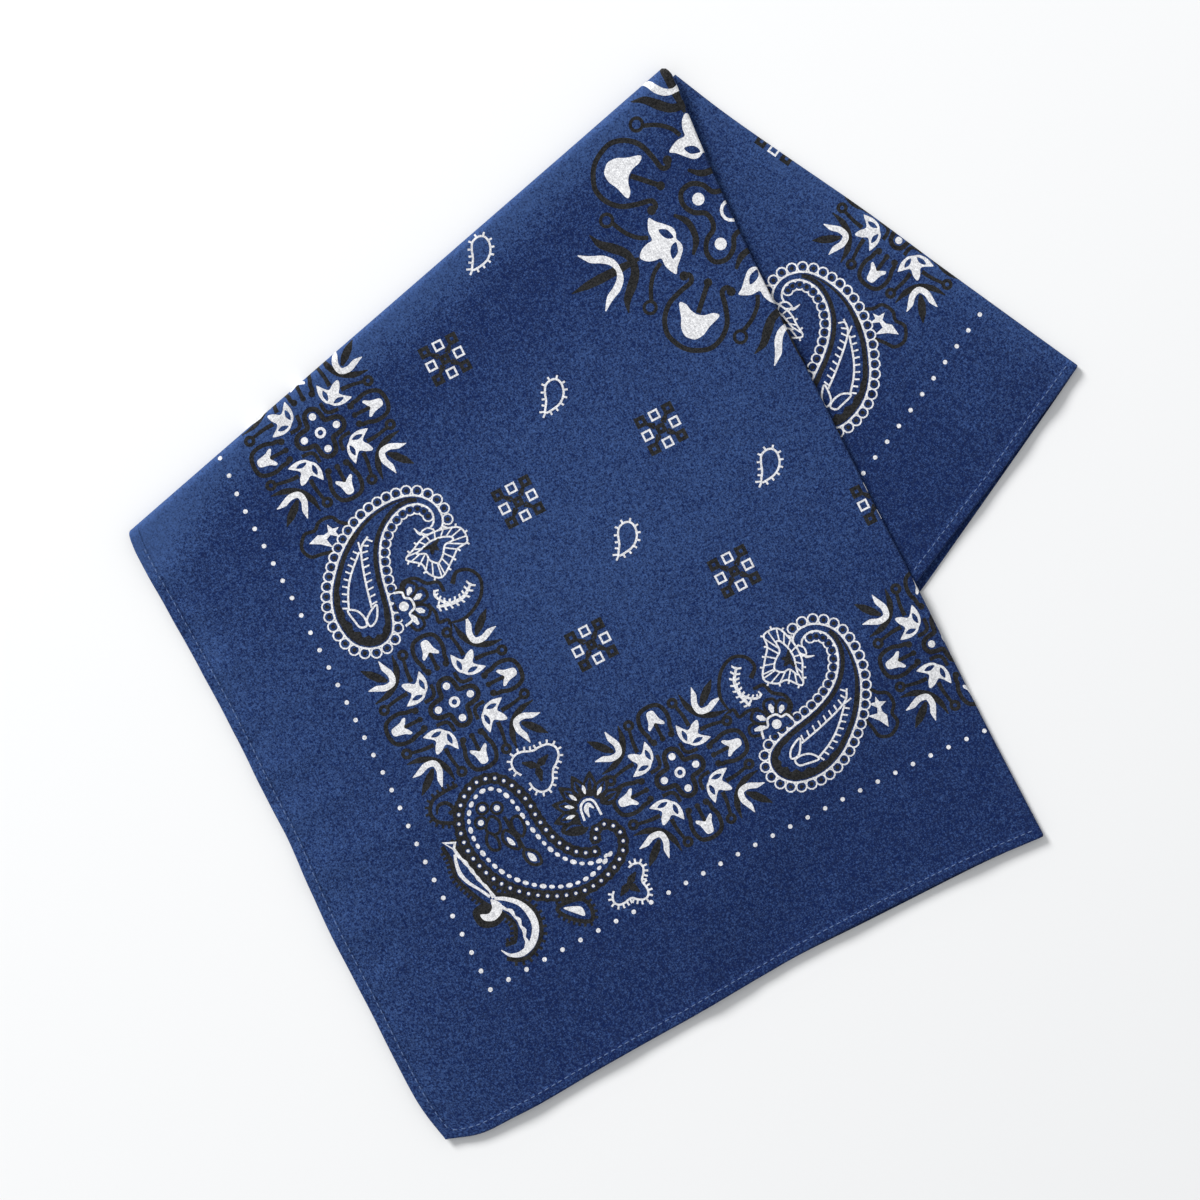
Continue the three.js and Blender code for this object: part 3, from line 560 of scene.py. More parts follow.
def medallion():
    # the same plan drawn larger and looser for the middle of the square
    quatrefoil = fourLobed([(8.8, 0), (9.9, 3.6), (14, 6), (16.5, 10.5), (15.2, 15.2), (10.5, 16.5), (6, 14),
                            (3.6, 9.9)])
    stem = inkLine(black, [(5.6, 35), (7.8, 39), (12.2, 42.8), (17.6, 45.4)], 1.8)
    stem += inkRing(black, (19.6, 47), 3.2, 1.8)
    side = stem + [(ink, points * [-1, 1]) for ink, points in stem]
    side += inkLine(black, [(0, 73), (0, 66), (0, 60), (0, 50), (0, 42)], [0.4, 3.2, 4, 3.4, 1.4])
    half = [(17.6, 55.8), (12.6, 53.8), (8.6, 49.8), (4.6, 46.2)]
    side += inkLine(black, upright(half, 45), [0.5, 3, 4, 3.6, 3, 3.6, 4, 3, 0.5], 6)
    half = [(12.6, 63.8), (8.8, 59.8), (6.6, 55.6), (3.7, 52.6)]
    side += inkLine(white, upright(half, 51.6), [0.4, 2.8, 3.2, 2.8, 2, 2.8, 3.2, 2.8, 0.4], 6)
    half = [(0, 41.6), (2.5, 39.6), (3.7, 36.6), (4.2, 34), (8, 33.8), (12.4, 31.5), (10.2, 29.7),
            (7.4, 26.8),
            (4.8, 24.5), (2.4, 24.1)]
    side += inkShape(white, half + [(0, 25)] + [(-x, y) for x, y in half[:0:-1]])
    eye = inkShape(ground, [(6.5, 29.8), (5.2, 27), (3, 26), (1, 25.8), (1.7, 28.2), (4, 29.7)])
    side += eye + [(ink, points * [-1, 1]) for ink, points in eye]
    side += inkLine(black, [(-8.8, 21.8), (-4.6, 18.3), (0, 17.4), (4.6, 18.3), (8.8, 21.8)],
                    [1.2, 2.7, 2.6, 2.7, 1.2])
    half = [(14.2, 30), (15.2, 26.8), (18, 27.4), (19.4, 33), (21.8, 39.4), (26.4, 43.8), (32.4, 45.6),
            (38, 43.8)]
    corner = inkLine(black, half + [(41.4, 41.4)] + [(y, x) for x, y in half[::-1]], 2.1)
    corner += bothSides(inkDisc(black, (14.6, 28.9), 1.9))
    corner += inkLine(black, [(30.6, 30.6), (26, 26), (21.4, 21.4)], 2.1) + inkDisc(black, (21.4, 21.4), 1.8)
    half = [(36.2, 39.6), (32.6, 39.4), (29, 37.6), (23.4, 35.6), (25, 33.4), (28.4, 32.6)]
    corner += inkShape(white, [(38.2, 38.2)] + half + [(31, 31)] + [(y, x) for x, y in half[::-1]])
    corner += inkDisc(white, (9.8, 10), 2.5)
    return (inkLoop(black, quatrefoil, 2.1) + fourWays(side) + fourWays(corner)
            + inkRing(white, (0, 0), 4.6, 3.3))


def linkedSquares():
    # four pale squares between five dark ones that are tied corner to corner
    links = bothSides(inkLine(black, [(1.4, 2.4), (3, 3.6), (5.6, 5.2)], 1.1, each=2))
    dark = inkBox(black, (6.2, 6.2), 2.3) + inkBox(ground, (6.2, 6.2), 0.7)
    pale = inkBox(white, (0, 6.2), 2.1) + inkBox(ground, (0, 6.2), 1.3)
    return fourWays(links + dark) + inkBox(black, (0, 0), 2.1) + inkBox(ground, (0, 0), 0.45) + fourWays(pale)


def seedDrop():
    # a small drop in outline with short hairs round it and a forked point
    points = [(-6.2, -5.4), (-4, -1.6), (-2.7, 2), (-1, 4.6), (2, 5.4), (4.3, 4.2), (4.9, 1.2), (3.6, -2.3),
              (0.8, -4.7), (-2.8, -5.6)]
    line = smoothLine(points, True)[::-1]
    fork = inkLine(white, [(-6, -5.2), (-8.4, -4.2)], 0.8) + inkLine(white, [(-6, -5.2), (-8, -6.9)], 0.8)
    return inkLoop(white, points, 0.85) + ticks(white, line, 12, -1.7, 0.8, 0.04, 0.92) + fork


def fern(turn=0.0, scale=1.0, move=(0, 0)):
    # a pale stem with slanting leaflets on both sides and one branch
    stem = [(0, -9), (-1.1, -3), (-0.4, 3.4), (3.6, 8.4)]
    branch = [(-0.9, -3), (1.4, -6), (4.6, -7.8), (7, -7)]
    shapes = inkLine(white, stem, [1, 1.7, 1.5, 1]) + inkLine(white, branch, 1.1)
    line = smoothLine(stem)
    shapes += ticks(white, line, 8, 2.2, 0.9, lean=0.7) + ticks(white, line, 8, -2.2, 0.9, lean=0.7)
    return turned(shapes + ticks(white, smoothLine(branch), 5, 1.7, 0.8, lean=0.4), turn, scale, move)


def dropBand(line, start, end):
    # the dark band inside a drop: even along its sides, deep and lobed round its broad end
    near, ahead = evenly(line, np.linspace(start, end, 120))
    inside = np.column_stack([ahead[:, 1], -ahead[:, 0]])
    share = np.linspace(0, 1, 120)
    broad = bump(share - 0.53, 0.13)
    depth = 2.7 * np.minimum(1, 0.35 + 3 * share) + 2.2 * broad + 0.8 * broad * np.sin(share * 150)
    return [(black, np.vstack([near + inside * 0.95, (near + inside * depth[:, None])[::-1]]))]


def sidePaisley():
    # a large drop with its tip curled over: a ringed edge, a dark band and a feather, with a flower and
    # scrolls at its back, a lace leaf at its tip and a bud beside it
    edge = [(7.5, 23.5), (8, 28.2), (11.5, 30.7), (17, 30.7), (22, 28), (25.6, 23.4), (27.2, 17), (27.3, 10),
            (26, 3), (23, -4), (18, -11.5), (12, -17.5), (5, -22.8), (-3, -26), (-11, -26.4), (-18, -24.4),
            (-22.6, -19.5), (-23.6, -13.5), (-21, -8.6), (-15.5, -5.6), (-8, -3.6), (1, -1.8), (9, 1),
            (15.5, 5.2), (20.2, 11.2), (22.4, 18), (21, 24.4), (16.5, 27.7), (11.6, 26.6), (9.4, 22.6)]
    line = smoothLine(edge)
    shapes = inkLoop(black, [(21.6, -5), (26.4, -4.2), (29.2, -7), (32.6, -9), (33, -14), (30.6, -17.2),
                             (31, -21.6), (26.4, -25), (21.8, -23.4), (20.8, -19.2), (19.6, -13)], 1.5)
    shapes += scallops(line[2:112], 49, 2.15, 0.65) + dropBand(line, 0.1, 0.92)
    shapes += inkLine(white, edge, 0.8)
    shapes += inkLine(white, [(9.4, 22.8), (9.8, 19.6), (13, 18.4)], [0.8, 1.3, 0.4])
    shapes += inkLoop(white, [(8.4, 25.2), (10.6, 23.4), (10.2, 20.4), (8.2, 22)], 0.7)
    upper = [(-8, -11.3), (3, -8.6), (15, -4.4), (18.6, 0.4)]
    lower = [(-5, -20), (2, -16.8), (8, -12.4), (14.6, -5.4)]
    shapes += inkLine(white, upper, 0.8) + inkLine(white, lower, 0.8)
    shapes += inkLine(white, [(14.6, -4.8), (18.4, -4)], 0.7)
    shapes += ticks(white, smoothLine(upper), 10, 2.7, 0.7, lean=0.7)
    shapes += ticks(white, smoothLine(lower), 9, -2.5, 0.7, lean=0.3)
    shapes += inkLoop(white, [(-8, -9), (-13, -11.6), (-14.6, -15), (-11.6, -15.3), (-8.8, -11.8)], 0.8)
    shapes += inkLoop(white, [(-13.6, -16.4), (-13, -19), (-10, -19.8), (-4.6, -20.4), (-6.6, -17),
                              (-10.6, -15.7)], 0.8)
    shapes += inkShape(black, [(-20.6, 0), (-19, 4.4), (-13.4, 6.6), (-8, 4.4), (-6, 0), (-13, -3)])
    for lean, reach in ((80, 9.4), (43, 8.6), (-8, 8.4), (-46, 8)):
        case = inkLoop(black, [(0, 3), (2.5, 6.4), (1.9, reach + 1.6), (-1.9, reach + 1.6), (-2.5, 6.4)], 1.3)
        petal = inkLine(white, [(0, 4.6), (0, 6.6), (0, reach)], [0.8, 2.4, 1.0])
        shapes += turned(case + petal, lean, 1.0, (-13.5, 0.7))
    shapes += inkShape(ground, [(-20, -2.4), (-18.6, 1), (-14.6, 3.6), (-10, 2.4), (-7.4, -1.6)])
    shapes += inkLine(white, [(-21, -2.6), (-20, 1), (-17.2, 1.2), (-15.8, 4), (-12.2, 4.2), (-10.4, 2.2),
                              (-8, 2.2), (-6.8, -0.8)], 0.95)
    shapes += inkDisc(white, (-13.5, 0.4), 2.0)
    shapes += inkLine(black, [(-28, 13), (-29, 21), (-24.6, 29.4), (-18, 33), (-12.5, 30.8), (-10.8, 25.6),
                              (-14.4, 22)], [0.8, 1.5, 1.5, 1.5, 1.5, 1.5, 2.2])
    shapes += inkLine(black, [(-15.6, 17.6), (-11, 17.2), (-9.4, 12.8), (-5.4, 9.6), (-4.6, 4.6),
                              (-7.4, 2)], 1.5)
    shapes += inkLine(black, [(-31, 13.4), (-26.6, 13.8), (-25.8, 10), (-21.8, 10.6), (-17, 9.6)],
                      [0.6, 1.5, 1.5, 1.5, 1])
    shapes += fern(4, 0.95, (-20.4, 20.6))
    outer = [(-10, 19.5), (-6, 15.2), (-1.5, 14.6), (3, 9.8), (5.4, 14.4), (7.6, 19), (8, 24), (7.2, 29),
             (4.6, 35.2), (-1.5, 35.4), (-2.5, 30.5), (-5.5, 26.5)]
    inner = [(-4, 20.4), (-1.5, 18.2), (1.4, 18), (3.2, 14.6), (4.2, 17.8), (5.2, 22), (4.7, 26.5), (3, 30.2),
             (1.4, 30.2), (1.2, 26.6), (-1.8, 24.2), (-3.4, 22.4)]
    outerLine, innerLine = smoothLine(outer, True), smoothLine(inner, True)
    shapes += inkLoop(white, outer, 0.75) + lacing(white, outerLine, innerLine, 19, 0.6)
    shapes += inkLoop(white, inner, 0.75) + ticks(white, outerLine, 15, -1.4, 0.75)
    shapes += inkLine(black, [(0, 20.2), (2.4, 21.6), (4.6, 25.4)], [0.8, 2.8, 0.8])
    shapes += inkLine(black, [(0.4, 23.4), (2.6, 22), (3.8, 18)], [0.8, 2.6, 0.8])
    star = [(27.5, -8), (28, -10.5), (30.6, -11.7), (27.6, -12.7), (27.3, -14.8), (28.4, -17), (26.8, -21.6),
            (24.6, -17.6), (21.2, -13.8), (25.2, -14.6), (26.2, -12.4), (23.6, -9.4), (26.4, -10)]
    return shapes + [(white, np.array(star))]


def lacing(ink, outer, inner, count, width):
    # threads that tie two closed lines
    (out, _), (into, _) = (evenly(line, np.linspace(0, 1, count)) for line in (outer, inner))
    return [shape for pair in zip(out, into) for shape in inkLine(ink, pair, width, 1)]


def beads(line, count, long, wide):
    # pale ovals, uneven in size, threaded on a line
    foot, ahead = evenly(line, (np.arange(count) + 0.5) / count)
    side = leftWay(ahead)
    angle = np.arange(9) * 2 * np.pi / 9
    size = 1 + 0.14 * np.sin(np.arange(count) * 2.3)
    cosine, sine = np.cos(angle)[None, :, None], np.sin(angle)[None, :, None]
    rounds = cosine * ahead[:, None] * long + sine * side[:, None] * wide
    return [(white, oval) for oval in foot[:, None] + size[:, None, None] * rounds]


def openLeaf(at, size, turn, apart):
    # three lobes in a thin line with short rays outside it, and a dark vein into each lobe
    angle = np.linspace(-1.35, 1.35, 19) * apart
    reach = size * (1 + 0.24 * np.cos(2 * np.pi * angle / apart))
    edge = np.array(at) + reach[:, None] * np.column_stack([np.cos(angle + turn), np.sin(angle + turn)])
    shapes = inkLine(white, edge, 0.85) + ticks(white, smoothLine(edge), 22, -1.9, 0.8)
    for lobe in (-apart, 0, apart):
        way = size * np.array([np.cos(lobe + turn), np.sin(lobe + turn)])
        shapes += inkLine(black, np.array(at) + np.outer([0, 0.3, 0.75], way), [1.4, 3.4, 0.7])
    return shapes


def cornerPaisley():
    # a broad drop lying across the corner: a dark dotted edge that curls at its tip, a row of beads, a sprig
    # inside, a long ribbon at its back, and lobed leaves, a cup and a lotus round it
    edge = [(24.5, -11.5), (25.3, -7.6), (29.5, -6), (33.4, -8.6), (34.7, -13.4), (32.5, -19), (27, -23),
            (19, -25.8), (9, -26), (-1, -22.5), (-10, -16.5), (-17, -8.5), (-21, 0.5), (-22.8, 11),
            (-21, 21.5),
            (-16, 28.5), (-8.5, 32.4), (-1, 31), (4, 25.5), (7, 17), (7.7, 8), (9.5, -1), (13.5, -9),
            (19.4, -13.6), (24, -14.4)]
    line = smoothLine(edge)
    flourish = [(-15, 35), (-21, 35), (-26.5, 34), (-29.5, 30), (-28.5, 25.5), (-24, 22.5), (-19, 21)]
    shapes = inkLine(black, flourish, 1.6) + ticks(black, smoothLine(flourish)[::-1], 14, 2.2, 1.1)
    shapes += inkLine(black, [(-27.5, 28), (-25.5, 31), (-22, 30.5), (-20.5, 27), (-23, 26)],
                      [0.6, 1.6, 1.6, 1.6, 1.8])
    spine = [(-29, 16), (-28, 9), (-28, 2), (-25.5, -6), (-23, -12.5), (-17.5, -18.5), (-14.8, -25),
             (-16.4, -31),
             (-21.5, -35), (-27.5, -33)]
    around = [6, 6.5, 9, 8.5, 7, 10, 11.5, 12, 10, 7]
    halves = np.interp(np.linspace(0, 9, len(smoothLine(spine))), np.arange(10), around) / 2
    shapes += inkLine(black, spine, around)
    leftSide, rightSide = sidesOf(smoothLine(spine), halves)
    for side in (leftSide, rightSide[::-1]):
        shapes += ticks(black, side, 26, 1.5, 1.15, 0.02, 0.95)
    shapes += inkShape(black, [(-32, -13), (-26, -12), (-21, -14.6), (-20, -19.6), (-26, -22.4),
                               (-32, -19.6)])
    shapes += inkLine(ground, spine, [w - 3.4 for w in around])
    shapes += inkLine(white, [(-28, 10.5), (-29, 7), (-29.5, 2.5), (-28.2, -2), (-25.6, -6.5), (-23.2, -11)],
                      [1.0, 1.3, 1.6, 1.3, 1.0, 1.2])
    shapes += inkLine(white, [(-27.3, 12.6), (-27, 9.5), (-26.4, 7.5), (-25.7, 5.5), (-25.3, 3.5),
                              (-24.9, 1.5),
                              (-24.5, -0.5), (-24.1, -2.5), (-23.6, -4.5), (-22.9, -6.5), (-22.3, -9),
                              (-22, -12)],
                      [1, 1.5, 0.9, 1.7, 0.8, 1.6, 0.8, 1.5, 0.8, 1.4, 0.9, 1.8], 3)
    shapes += [(white, np.array([(-30.6, 17.2), (-25.2, 14.8), (-27.4, 11.8)])),
               (ground, np.array([(-29.4, 15.9), (-26.6, 14.5), (-27.6, 13.2)]))]
    shapes += inkShape(white, [(-23.4, -12), (-24.5, -15.3), (-27, -16.6), (-29.8, -15.4), (-29.4, -18.2),
                               (-26, -20), (-22, -18.6), (-20.6, -15.6)])
    shapes += inkLine(white, [(-22, -12.4), (-18, -14.8), (-14, -19), (-12.2, -24.6), (-12.8, -30),
                              (-16.6, -34.8),
                              (-22, -36.6), (-26.6, -35), (-28.9, -31.6)],
                      [1.2, 1.6, 2, 2.8, 2.8, 2.8, 2.4, 1.2, 0.4])
    shapes += inkLine(white, [(-21.5, -16), (-19.8, -18.5), (-18.4, -20), (-18.2, -22.5), (-17.3, -24.5),
                              (-17.8, -27),
                              (-17.3, -29), (-18.4, -31.5), (-18.4, -33.5), (-19.8, -35.5)],
                      [1.6, 1.0, 1.7, 0.9, 1.7, 0.9, 1.7, 0.9, 1.5, 1.6], 3)
    spots, _ = evenly(line, np.linspace(0.01, 0.99, 51))
    shapes += inkLine(black, line[::2], 4.3, 1)
    shapes += [shape for spot in spots for shape in inkDisc(black, spot, 2.55, 9)]
    shapes += [shape for spot in spots for shape in inkDisc(ground, spot, 1.1, 8)]
    shapes += [shape for spot in spots for shape in inkDisc(white, spot, 0.66, 7)]
    shapes += beads(smoothLine([(28.6, -17.2), (22, -20.4), (15, -22.3), (7, -21.7), (-0.5, -18.5), (-8, -13),
                                (-14, -5.5), (-17.4, 3), (-18.6, 12), (-17, 20.5), (-12.5, 26.2), (-7, 28.2),
                                (-1.5, 26), (1.7, 19), (3, 10), (4.8, 0.5), (7.8, -8), (13.5, -15),
                                (21, -18.4), (27, -17.4)]), 44, 1.25, 0.85)
    shapes += inkLoop(black, [(-9, 17.5), (-6.5, 14.5), (-8, 10.5), (-11.5, 10.5), (-12.5, 14)], 1.3)
    shapes += inkLine(black, [(-4, 15), (-3.2, 7), (-2.6, 0), (-1.4, -3)], [1.4, 2.2, 1.4, 0.8])
    for spot in ((-10.3, 21.9), (-5, 19.4), (-13.3, 17)):
        shapes += inkRing(black, spot, 2.9, 1.8) + inkDisc(white, spot, 1.2, 9)
    for leaf in ([(-12.4, 12), (-10.2, 8.5), (-11.2, 4.2), (-14.2, 5.4), (-14.6, 9)],
                 [(-2, 12.4), (1.2, 12.5), (1.6, 7.5), (-1, 4.5), (-2.8, 8)],
                 [(-6, 9.9), (-3.4, 5.6), (-4.2, 0.6), (-7.4, 3.3), (-8.4, 7.2)],
                 [(-2.8, -0.8), (1.2, -3.8), (1, -8.4), (-2.4, -7.6), (-4, -4)]):
        shapes += inkLoop(black, leaf, 1.3)
    shapes += inkShape(white, [(-6.7, 7), (-5.2, 5.2), (-5, 2.6), (-6.9, 4.2)])
    shapes += inkShape(white, [(-2.2, -2.4), (-0.2, -4.2), (-0.3, -6.9), (-2.4, -5.6)])
    shapes += openLeaf((17, 27), 8.6, 0.35, 2.1) + openLeaf((28, -32), 7.6, -1.05, 1.57)
    cup = [(-2, -27.8), (3, -27.2), (8.8, -29), (10.4, -33.6), (8.6, -38), (4.6, -36.6), (0.4, -32.6)]
    shapes += ticks(black, smoothLine(cup, True), 17, 2.1, 1.1)
    shapes += ticks(black, smoothLine(cup, True), 17, -2.1, 1.1)
    shapes += inkLoop(black, cup, 1.7)
    shapes += inkShape(black, [(13.5, -1), (18, 2), (22.5, 1), (25, -3.5), (21.5, -6), (16.5, -4.5)])
    shapes += inkLine(ground, [(15.5, -1.5), (18.5, -1), (22, -2.5)], [0.4, 1, 0.3])
    shapes += inkShape(white, [(0.4, -28.6), (4.8, -30), (7.2, -31.8), (6.7, -35.2), (4, -32.8)])
    petal = inkShape(black, [(0, 5), (2.9, 7.6), (2.8, 11), (0.6, 15.4), (-0.6, 15.4), (-2.8, 11),
                             (-2.9, 7.6)])
    petal += inkLine(ground, [(-1, 8.2), (-1.3, 10.4), (-0.2, 13)], [0.3, 1, 0.3])
    petal += inkLine(ground, [(1, 8.2), (1.3, 10.4), (0.2, 13)], [0.3, 1, 0.3])
    for lean in (84, 56, 28, 2, -26, -54, -84):
        shapes += turned(petal, lean, 0.98, (28, 1.6))
    seed = inkShape(white, [(0, 6.4), (0.75, 8.4), (0, 10.4), (-0.75, 8.4)])
    for lean in (84, 56, 28, -10, -54):
        shapes += turned(seed, lean, 1.0, (28, 1.6))
    shapes += inkShape(ground, [(22.8, -3.6), (24.2, 4.6), (28, 7.2), (31.8, 4.6), (32.2, -3.6)])
    shapes += inkLine(white, [(24, -1.4), (25, 4), (28, 5.8), (30.8, 4), (31.2, -2.4)], 0.95)
    return shapes + inkLine(white, [(26.4, -1), (26.6, 2.2), (28.3, 3.6), (29.7, 1.4)], [0.5, 2.0, 1.9, 0.5])


printPlan = {
    "rosettesAt": [(0, 194), (122.6, 194), (191, 126.3)],
    "sideRosettes": [(-189.5, -3.5), (193, 0)],  # placed a little off the print's symmetry
    "paisleyAcross": (65, 195),
    "paisleyUpright": (192, 68.7),
    "cornerAt": (190, 192),
    "lattice": 65.5,
    "dots": {"left": 229.6, "lower": 234.9, "upper": 238.7, "across": 58, "up": 60, "radius": 0.95},
}


def allQuarters(shapes, place):
    # a shape of the lower left quarter, mirrored to all four
    found = []
    for i, j in ((-1, -1), (1, -1), (-1, 1), (1, 1)):
        found += [(ink, points * [-i, -j] + np.array(place) * [i, j]) for ink, points in shapes]
    return found


def wholePrint():
    # everything that is printed on the square, in the cloth's own coordinates
    shapes, rose = [], rosette()
    for s, t in printPlan["rosettesAt"]:
        for place in {(s, t), (-s, t), (s, -t), (-s, -t)}:
            shapes += turned(rose, move=place)
    for place in printPlan["sideRosettes"]:
        shapes += turned(rose, move=place)
    shapes += medallion()
    paisley = sidePaisley()
    shapes += allQuarters(paisley, printPlan["paisleyAcross"])
    shapes += allQuarters([(ink, points[:, ::-1]) for ink, points in paisley], printPlan["paisleyUpright"])
    shapes += allQuarters(cornerPaisley(), printPlan["cornerAt"])
    lattice, squares, seed = printPlan["lattice"], linkedSquares(), seedDrop()
    for i in range(-2, 3):
        for j in range(-2, 3):
            if abs(i) + abs(j) > 1:
                shapes += turned(squares, move=(lattice * i, lattice * j))
            if i < 2 and j < 2 and not (i in (-1, 0) and j in (-1, 0)):
                shapes += turned(seed, move=(lattice * (i + 0.5), lattice * (j + 0.5)))
    dots = printPlan["dots"]
    row = np.linspace(-dots["left"], dots["left"], dots["across"])
    column = np.linspace(-dots["lower"], dots["upper"], dots["up"])
    spots = [(s, t) for s in row for t in (-dots["lower"], dots["upper"])]
    spots += [(s, t) for t in column[1:-1] for s in (-dots["left"], dots["left"])]
    return shapes + [shape for spot in spots for shape in inkDisc(white, spot, dots["radius"], 9)]


squarePrint = wholePrint()
print("print drawn:", len(squarePrint), "outlines")


def drifted(plan):
    # the front panel's cloth is pulled a little towards its top corner
    near = bump(np.hypot(*(plan - fold["apex"]).T), 55)[:, None]
    return plan + near * np.array([2.2, 3.2])


def printOn(layer, low, high):
    # the print as it lands on one layer's plan, without what lies outside the given corners
    place = layers[layer]
    matrix = np.stack([place["across"], place["up"]])
    landed = [(ink, points @ matrix + place["origin"]) for ink, points in squarePrint]
    if layer == "front":
        landed = [(ink, drifted(points)) for ink, points in landed]
    return [(ink, points) for ink, points in landed
            if (points.max(0) > low).all() and (points.min(0) < high).all()]


def clothAt(layer, plan):
    # the cloth's own coordinates of plan points
    place = layers[layer]
    away = plan - place["origin"]
    return np.column_stack([away @ place["across"], away @ place["up"]])


def inkOn(spots, shapes):
    # the ink of the last outline that goes round each spot, counted by its turns
    ink = np.zeros(len(spots), int)
    for colour, outline in shapes:
        low, high = outline.min(0), outline.max(0)
        near = np.flatnonzero(((spots > low) & (spots < high)).all(1))
        u, v = spots[near, 0, None], spots[near, 1, None]
        (startU, startV), (endU, endV) = outline.T, np.roll(outline, -1, 0).T
        side = (endU - startU) * (v - startV) - (endV - startV) * (u - startU)
        rising, falling = (startV <= v) & (endV > v) & (side > 0), (startV > v) & (endV <= v) & (side < 0)
        ink[near[rising.sum(1) != falling.sum(1)]] = colour
    return ink


def cutPrint(domain, lines, spots, shapes):
    # triangles over the domain, which runs anticlockwise, that follow every outline of the print and every
    # given line, with the ink that each has
    points, edges, count = [domain], [], len(domain)
    for closed, rows in ((True, [outline for _, outline in shapes]), (False, lines)):
        for row in rows:
            points.append(row)
            edges += [(count + k, count + k + 1) for k in range(len(row) - 1)]
            edges += [(count + len(row) - 1, count)] * closed
            count += len(row)
    points.append(spots)
    flat = [Vector(pair) for pair in np.vstack(points).tolist()]
    inside = [range(len(domain))]
    found, _, triangles, _, _, within = geometry.delaunay_2d_cdt(flat, edges, inside, 1, 1e-4, True)
    triangles = np.array([three for three, owners in zip(triangles, within) if owners], int)
    used, triangles = np.unique(triangles, return_inverse=True)
    plan = np.array([tuple(found[k]) for k in used], float)
    triangles = triangles.reshape(-1, 3)
    return plan, triangles, inkOn(plan[triangles].mean(1), shapes)


def gridSpots(low, high, spacing):
    u, v = np.meshgrid(np.arange(low[0], high[0], spacing), np.arange(low[1], high[1], spacing))
    return np.column_stack([u.ravel(), v.ravel()])


def inMetres(points):
    return (points - [*middle, 0]) * metre


def placed(name, data):
    # an object at the origin, in the scene
    thing = bpy.data.objects.new(name, data)
    bpy.context.scene.collection.objects.link(thing)
    return thing


def shell(name, layer, cut, surface, thick, faceDown=False):
    # the outer face on the triangles, the inner face behind it and a rim between them
    plan, triangles, ink = cut
    outer = surface(plan)
    inner = surface(plan, thick)
    step = 0.04  # between the points that give a slope
    alongU = surface(plan + [step, 0]) - surface(plan - [step, 0])
    alongV = surface(plan + [0, step]) - surface(plan - [0, step])
    normals = np.cross(alongU, alongV)
    normals /= np.maximum(np.linalg.norm(normals, axis=1, keepdims=True), 1e-12)
    if faceDown:
        triangles, normals = triangles[:, ::-1], -normals
    count = len(plan)
    sides = np.concatenate([triangles[:, [0, 1]], triangles[:, [1, 2]], triangles[:, [2, 0]]])
    keys = np.sort(sides, 1)
    _, first, uses = np.unique(keys, axis=0, return_index=True, return_counts=True)
    rim = sides[first[uses == 1]]
    rimFaces = np.column_stack([rim[:, 1], rim[:, 0], rim[:, 0] + count, rim[:, 1] + count])
    points = np.vstack([outer, inner])
    mesh = bpy.data.meshes.new(name)
    faces = triangles.tolist() + (triangles[:, ::-1] + count).tolist() + rimFaces.tolist()
    mesh.from_pydata(inMetres(points), [], faces)
    inks = np.concatenate([ink, np.zeros(len(triangles) + len(rim), int)])
    # the dye's share between its deep and paler blue, with the painted light and shade of the table added
    dyeAndPaintedLight = plainFade + hills(paintedLightAndTone[layer], *outer[:, :2].T)
    for label, where, values in (("whiteInk", "FACE", inks == white), ("blackInk", "FACE", inks == black),
                                 ("dyeAndPaintedLight", "POINT", np.tile(dyeAndPaintedLight, 2))):
        mesh.attributes.new(label, "FLOAT", where).data.foreach_set("value", values.astype(np.float32))
    place = clothAt(layer, plan)
    corner = np.zeros(len(mesh.loops), int)
    mesh.loops.foreach_get("vertex_index", corner)
    inOuterFace = np.arange(len(corner)) < 3 * len(triangles)
    onCloth = place[corner % count]
    mesh.uv_layers.new(name="cloth").data.foreach_set("uv", (onCloth * metre).ravel())
    # the outer face fills the bake sheet but for a strip along its foot, where the inner face and the rim lie
    spread = plan[corner % count] - plan.min(0)
    spread = spread / np.ptp(plan, axis=0).max()
    outerSide, innerSide, margin, stripTop = 0.962, 0.028, 0.002, 0.036
    small = spread * innerSide + [margin, margin]
    baked = np.where(inOuterFace[:, None], spread * outerSide + [margin, stripTop], small)
    mesh.uv_layers.new(name="OFBake").data.foreach_set("uv", baked.ravel())
    mesh.shade_smooth()
    mesh.normals_split_custom_set_from_vertices(np.vstack([normals, -normals]))
    print(name, len(mesh.polygons), "faces")
    return placed(name, mesh)


# Painted light and shade added to the dye's share: on the front a paler middle painted for the light's sheen,
# a pale band painted for the light caught by the top-left fold's roll with a band of painted shade just
# inside it, paler strips painted for grazing light along the left hem and at its upper end, and a slightly
# paler strip inside the right fold; on the flap paler bands painted for the light, running along its crease;
# on the two hidden layers a slight paler patch. Centre u and v, half length, half width, turn in degrees,
# change
paintedLightAndTone = {
    "front": [(162, 188, 142, 97, 14, 0.43), (138, 315, 320, 15, 13.8, 0.85),
              (146, 286, 320, 24, 13.8, -0.12),
              (4, 150, 300, 34, 90, 0.22), (1, 150, 300, 9, 90, 0.1), (3, 272, 18, 16, 20, 0.45),
              (6, 226, 18, 4, 84, 0.2), (255, 250, 130, 22, 90, 0.1)],
    "flap": [(327, 257, 170, 8, -63, 0.35), (315, 240, 110, 36, -63, 0.26), (288, 300, 50, 30, -63, 0.16)],
    "second": [(60, 20, 60, 20, 0, 0.1)],
    "bottom": [(160, 180, 90, 60, 20, 0.1)],
}
plainFade = 0.13


